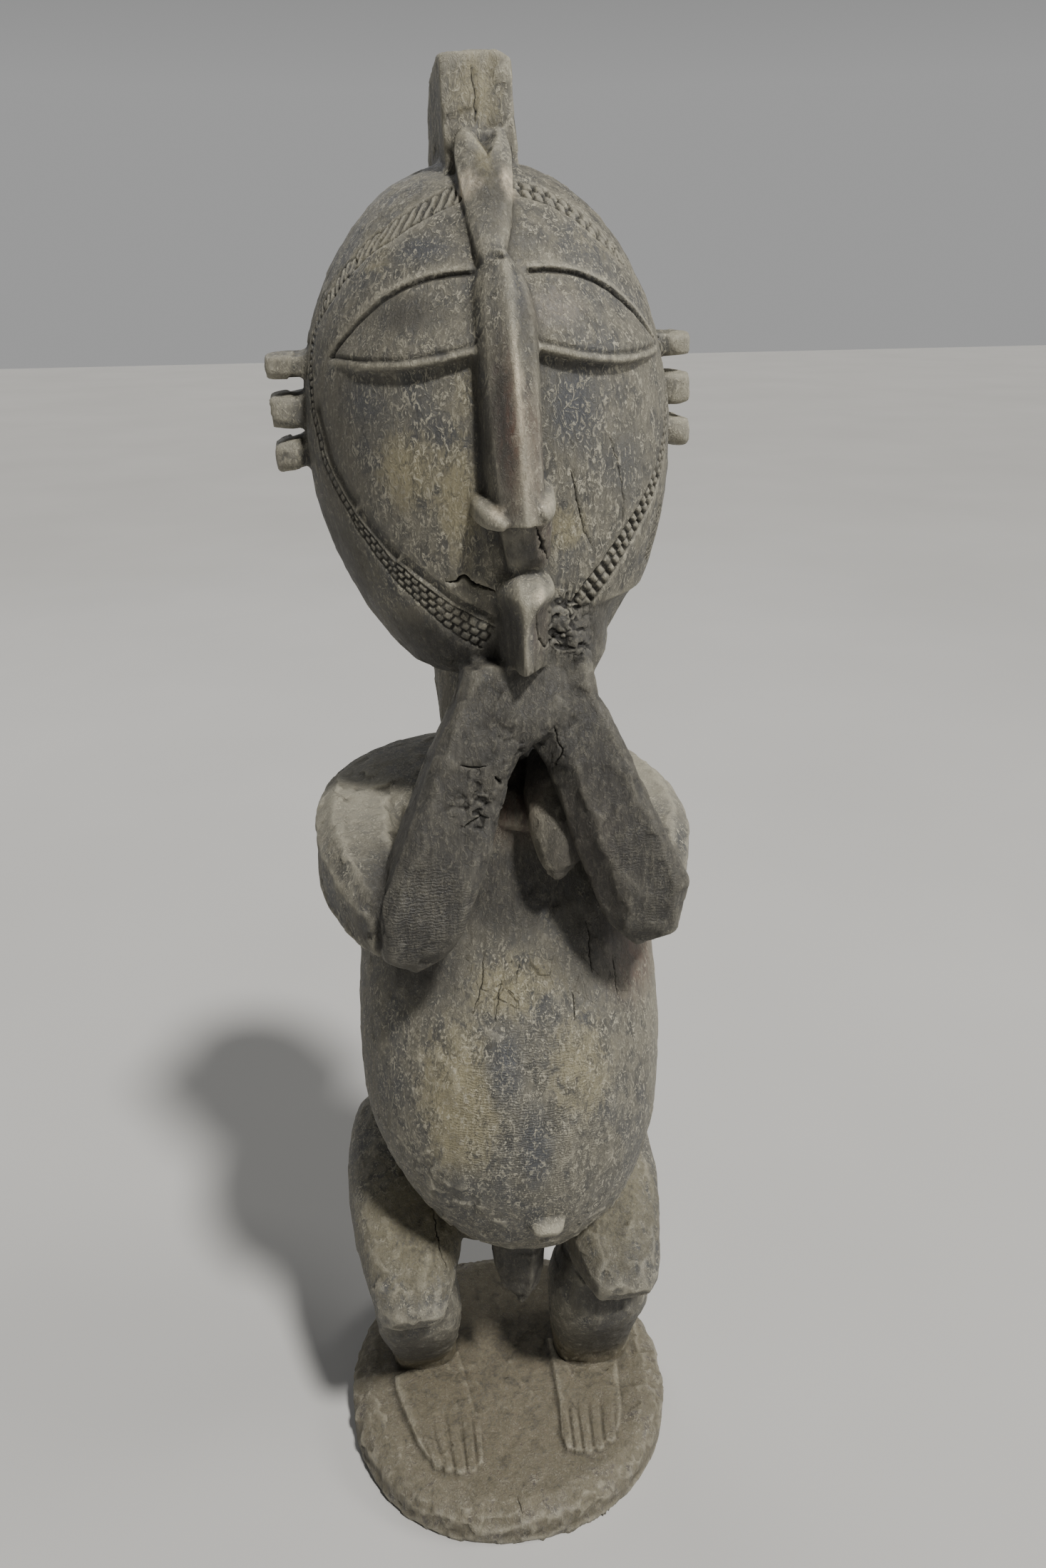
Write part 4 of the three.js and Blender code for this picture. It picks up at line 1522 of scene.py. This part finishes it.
def carving_mesh():
    mesh = union_mesh(all_parts(), VOXEL)
    edges = read_edges(mesh)
    points = read_points(mesh)
    points = smooth_points(points, edges, smoothing_weight(points), BLEND_ROUNDS)
    points = smooth_points(points, edges, np.ones(len(points)), 1)
    write_points(mesh, points)

    write_points(mesh, chiselled(points, read_normals(mesh), edges))
    for level in (1, 2):
        refine(mesh, close_to_detail(read_points(mesh), read_normals(mesh), level))

    points, normals = read_points(mesh), read_normals(mesh)
    depth, cut_mask, worn = carve(points, normals)
    points = points - normals * (depth - weather(points))[:, None]
    finish_base(points, normals, cut_mask)
    write_points(mesh, points)
    paint(mesh, points, cut_mask, worn)

    triangles = sum(len(p.vertices) - 2 for p in mesh.polygons)
    if triangles > TRIANGLES:
        mesh = with_modifier(mesh, "DECIMATE", decimate_type="COLLAPSE", ratio=TRIANGLES / triangles)
    low, high = (np.array(corner) * PER_METRE for corner in CAD_BOX)
    write_points(mesh, np.clip(read_points(mesh), low, high))
    for polygon in mesh.polygons:
        polygon.use_smooth = True
    return mesh


# Materials


class Nodes:
    """Short calls for building a material's nodes."""

    def __init__(self, material):
        material.use_nodes = True
        self.tree = material.node_tree
        self.tree.nodes.clear()

    def feed(self, socket, value):
        """Links another node's output to the socket, or sets the socket's own value."""
        if isinstance(value, bpy.types.NodeSocket):
            self.tree.links.new(value, socket)
        else:
            socket.default_value = value

    def add(self, kind, inputs=None, **settings):
        node = self.tree.nodes.new(kind)
        set_all(node, settings)
        for key, value in (inputs or {}).items():
            self.feed(node.inputs[key], value)
        return node

    def noise(self, vector, scale, detail=4.0, rough=0.55, distortion=0.0):
        inputs = {"Vector": vector, "Scale": scale, "Detail": detail, "Roughness": rough}
        inputs["Distortion"] = distortion
        return self.add("ShaderNodeTexNoise", inputs).outputs["Fac"]

    def stretched(self, vector, scale):
        return self.add("ShaderNodeMapping", {"Vector": vector, "Scale": scale}).outputs["Vector"]

    def steps(self, value, low, high, to_low=0.0, to_high=1.0):
        """Carries low to to_low and high to to_high, evenly between and no further outside."""
        inputs = {"Value": value, "From Min": low, "From Max": high, "To Min": to_low, "To Max": to_high}
        return self.add("ShaderNodeMapRange", inputs, clamp=True).outputs["Result"]

    def math(self, operation, a, b=0.0):
        return self.add("ShaderNodeMath", {0: a, 1: b}, operation=operation).outputs[0]

    def times(self, a, b):
        return self.math("MULTIPLY", a, b)

    def plus(self, a, b):
        return self.math("ADD", a, b)

    def mix(self, factor, a, b):
        node = self.add("ShaderNodeMix", data_type="RGBA", blend_type="MIX")
        for key, value in (("Factor_Float", factor), ("A_Color", a), ("B_Color", b)):
            self.feed(next(s for s in node.inputs if s.identifier == key), value)
        return next(s for s in node.outputs if s.identifier == "Result_Color")


def rgb(r, g, b):
    return (r, g, b, 1.0)


# Linear colours of the wood
GREY = rgb(0.072, 0.070, 0.062)
TAN = rgb(0.172, 0.160, 0.124)
STRAW = rgb(0.266, 0.236, 0.140)
SLATE = rgb(0.062, 0.066, 0.073)
UMBER = rgb(0.036, 0.034, 0.031)
RED_BROWN = rgb(0.110, 0.062, 0.042)
PALE = rgb(0.430, 0.402, 0.310)
# the pale of worn raw wood, and painted highlight
SHINE = rgb(0.620, 0.535, 0.395)
# near black: the wood's dark streaks and cracks, and painted shade in the cuts and hollows
SOOT_AND_SHADE = rgb(0.009, 0.008, 0.006)


def wood_material():
    material = bpy.data.materials.new("weathered_wood")
    n = Nodes(material)
    place = n.add("ShaderNodeTexCoord").outputs["Object"]

    def layer(name):
        attribute = n.add("ShaderNodeAttribute", attribute_name=name)
        split = n.add("ShaderNodeSeparateColor", {"Color": attribute.outputs["Color"]})
        return [split.outputs[k] for k in ("Red", "Green", "Blue")] + [attribute.outputs["Alpha"]]

    # The tone layer holds painted shade in the cuts and hollows, and its dark and pale masks also paint
    # shade and light.
    crease_shade, dark, red, pale = layer("tone")
    slate, straw, edge, rasp = layer("bloom")
    polish_and_glint, crazed, worn, _ = layer("wear_and_glint")

    cloud = n.noise(n.stretched(place, (1.0, 1.0, 0.55)), 22, 5, 0.58, 0.8)
    blotch = n.noise(n.stretched(place, (1.0, 1.0, 0.5)), 90, 7, 0.64, 1.0)
    fleck = n.noise(n.stretched(place, (1.0, 1.0, 0.55)), 290, 4, 0.70, 1.8)
    speck = n.noise(place, 900, 3, 0.7)
    fibre = n.noise(n.stretched(place, (1.0, 1.0, 0.05)), 420, 5, 0.65, 0.3)
    streak = n.noise(n.stretched(place, (1.0, 1.0, 0.07)), 300, 5, 0.65)
    uneven = n.plus(n.times(blotch, 1.5), n.times(fleck, 1.3))  # about 1.4

    def ragged(mask, low, high):
        """A painted mask whose edge breaks up along the wood's own mottling."""
        return n.steps(n.plus(mask, n.math("SUBTRACT", uneven, 1.4)), low, high)

    curl = n.noise(n.stretched(place, (1.0, 1.0, 0.7)), 210, 3, 0.6, 2.2)
    curl = n.steps(n.math("ABSOLUTE", n.math("SUBTRACT", curl, 0.5)), 0.004, 0.034, 1.0, 0.0)
    curl = n.times(curl, n.steps(fleck, 0.47, 0.56))
    dark = ragged(dark, 0.1, 0.7)
    scratch = n.plus(curl, n.steps(streak, 0.56, 0.68, 0.0, 0.6))
    net = n.add(
        "ShaderNodeTexVoronoi",
        {"Vector": n.stretched(place, (1.0, 1.0, 0.55)), "Scale": 70.0},
        feature="DISTANCE_TO_EDGE",
    ).outputs["Distance"]
    lines = n.times(n.steps(net, 0.008, 0.03, 1.0, 0.0), n.steps(blotch, 0.50, 0.58))
    lines = n.times(lines, crazed)

    # The coats of colour, from the wood up: how much each covers, and its colour
    coats = [
        (n.steps(cloud, 0.50, 0.62, 0.0, 0.5), SLATE),
        (n.times(ragged(straw, 0.35, 0.85), 0.8), STRAW),
        (n.times(ragged(slate, 0.35, 0.8), 0.9), SLATE),
        (n.steps(fleck, 0.46, 0.34, 0.0, 0.45), UMBER),
        (n.times(curl, 0.4), PALE),
        (n.steps(fleck, 0.54, 0.60, 0.0, 0.75), PALE),
        (n.steps(speck, 0.60, 0.72, 0.0, 0.4), UMBER),
        (n.steps(fibre, 0.36, 0.60, 0.16, 0.0), UMBER),
        # bleached wood, and painted light on parts turned to the lamp
        (n.times(pale, 0.6), PALE),
        (n.times(red, n.steps(streak, 0.35, 0.6, 0.35, 1.0)), RED_BROWN),
        # dark wood, and painted shade where parts turn from the light or lie in the shadow of others
        (n.times(dark, 0.78), UMBER),
        (n.times(scratch, n.times(dark, 0.12)), PALE),
        (n.times(dark, n.steps(streak, 0.52, 0.36, 0.0, 0.3)), SOOT_AND_SHADE),
        (n.times(edge, n.steps(dark, 0.0, 1.0, 0.4, 0.08)), PALE),
        (n.times(worn, n.steps(fleck, 0.35, 0.6, 0.2, 0.7)), PALE),
        # worn raw wood, and painted highlights on the lips and nostrils
        (n.times(polish_and_glint, n.steps(streak, 0.35, 0.62, 0.25, 0.9)), SHINE),
        (n.times(lines, 0.6), SOOT_AND_SHADE),
        # painted shade in the cuts, cracks and hollows
        (crease_shade, SOOT_AND_SHADE),
    ]
    colour = n.mix(n.steps(blotch, 0.38, 0.60), GREY, TAN)
    for share, tint in coats:
        colour = n.mix(share, colour, tint)

    rough = n.steps(polish_and_glint, 0.0, 1.0, 0.62, 0.30)
    rough = n.plus(rough, n.steps(blotch, 0.3, 0.7, -0.10, 0.10))

    # Worn fine wavy marks, in the relief only
    ripple = n.add(
        "ShaderNodeTexWave",
        {"Vector": place, "Scale": 135.0, "Distortion": 9.0, "Detail": 4.0, "Detail Scale": 1.6},
        wave_type="BANDS",
        bands_direction="Z",
    ).outputs["Fac"]
    ripple = n.times(ripple, n.times(rasp, n.steps(cloud, 0.36, 0.50)))
    height = n.times(fibre, 0.15)
    for relief, share in ((fleck, 1.0), (ripple, 0.55), (streak, 0.35), (curl, 0.35), (lines, -0.8)):
        height = n.plus(height, n.times(relief, share))
    bump = n.add("ShaderNodeBump", {"Height": height, "Strength": 0.7, "Distance": 0.0014})

    shader = n.add(
        "ShaderNodeBsdfPrincipled",
        {
            "Base Color": colour,
            "Roughness": rough,
            "Normal": bump.outputs["Normal"],
            "Specular IOR Level": 0.4,
        },
    )
    n.add("ShaderNodeOutputMaterial", {"Surface": shader.outputs["BSDF"]})
    return material


def floor_material():
    material = bpy.data.materials.new("pale_floor")
    n = Nodes(material)
    place = n.add("ShaderNodeTexCoord").outputs["Object"]
    tint = n.steps(n.noise(place, 1.3, 3), 0.3, 0.7)
    colour = n.mix(tint, rgb(0.42, 0.415, 0.40), rgb(0.45, 0.445, 0.43))
    shader = n.add("ShaderNodeBsdfPrincipled", {"Base Color": colour, "Roughness": 0.85})
    n.add("ShaderNodeOutputMaterial", {"Surface": shader.outputs["BSDF"]})
    return material


# The figure
figure = new_object("nimba_carving", carving_mesh())
figure.data.materials.append(wood_material())
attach(figure, "root")
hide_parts("nimba_figure")

# The floor
FLOOR_HALF = 14
floor_mesh = bpy.data.meshes.new("floor")
corners = [(-1, -1), (1, -1), (1, 1), (-1, 1)]
floor_mesh.from_pydata([(FLOOR_HALF * x, FLOOR_HALF * y, 0) for x, y in corners], [], [(0, 1, 2, 3)])
floor = new_object("floor", floor_mesh)
floor.data.materials.append(floor_material())
floor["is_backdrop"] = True

# The camera, at the photograph's place
CAMERA_PLACE = Vector((-0.102, -0.792, 0.988))
YAW, PITCH, ROLL = (math.radians(a) for a in (8.9, 23.7, -0.68))
IMAGE_WIDTH, IMAGE_HEIGHT = 1467, 2200
FOCAL_PIXELS = 1652
SENSOR = 36

camera_data = bpy.data.cameras.new("camera")
camera_data.sensor_fit = "AUTO"
camera_data.sensor_width = SENSOR
camera_data.lens = FOCAL_PIXELS / IMAGE_HEIGHT * SENSOR
camera = new_object("camera", camera_data)
ahead = Vector((math.sin(YAW) * math.cos(PITCH), math.cos(YAW) * math.cos(PITCH), -math.sin(PITCH)))
level = Vector((math.cos(YAW), -math.sin(YAW), 0))
upward = level.cross(ahead)
right = math.cos(ROLL) * level + math.sin(ROLL) * upward
up = -math.sin(ROLL) * level + math.cos(ROLL) * upward
camera.matrix_world = Matrix.Translation(CAMERA_PLACE) @ Matrix((right, up, -ahead)).transposed().to_4x4()
bpy.context.scene.camera = camera


# Lights
MIDDLE = 0.6  # height in metres that they are aimed at


def light(name, kind, azimuth, elevation, power, colour, distance=3.0, **settings):
    """A lamp aimed at the figure's middle. The azimuth counts from the figure's front towards its left."""
    data = bpy.data.lights.new(name, kind)
    data.energy = power
    data.color = colour
    set_all(data, settings)
    a, e = math.radians(azimuth), math.radians(elevation)
    towards = Vector((math.sin(a) * math.cos(e), -math.cos(a) * math.cos(e), math.sin(e)))
    lamp = new_object(name, data)
    lamp.rotation_euler = towards.to_track_quat("Z", "Y").to_euler()
    lamp.location = Vector((0, 0, MIDDLE)) + towards * distance


# The main lamp is a sun, so that the whole floor is lit evenly.
light("key", "SUN", 26, 57, power=4.2, colour=(1.0, 0.98, 0.95), angle=math.radians(6))
light("side", "AREA", 72, 30, power=40, colour=(1.0, 0.985, 0.96), size=1.0)
light("back", "AREA", 200, 40, power=20, colour=(0.97, 0.98, 1.0), size=1.6, distance=3.2)

# A dim room whose pale wall is seen low down, all round
WALL_STRENGTH = 0.42
CEILING_STRENGTH = 0.10
world = bpy.data.worlds.new("studio")
w = Nodes(world)
direction = w.add("ShaderNodeTexCoord").outputs["Generated"]
rise = w.add("ShaderNodeSeparateXYZ", {"Vector": direction}).outputs["Z"]
strength = w.steps(rise, 0.12, 0.40, WALL_STRENGTH, CEILING_STRENGTH)
shade = w.add("ShaderNodeBackground", {"Color": rgb(0.86, 0.86, 0.86), "Strength": strength})
w.add("ShaderNodeOutputWorld", {"Surface": shade.outputs["Background"]})
bpy.context.scene.world = world

boxes = {"cad": CAD_BOX, "visual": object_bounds()}
{name: [list(corner) for corner in box] for name, box in boxes.items()}
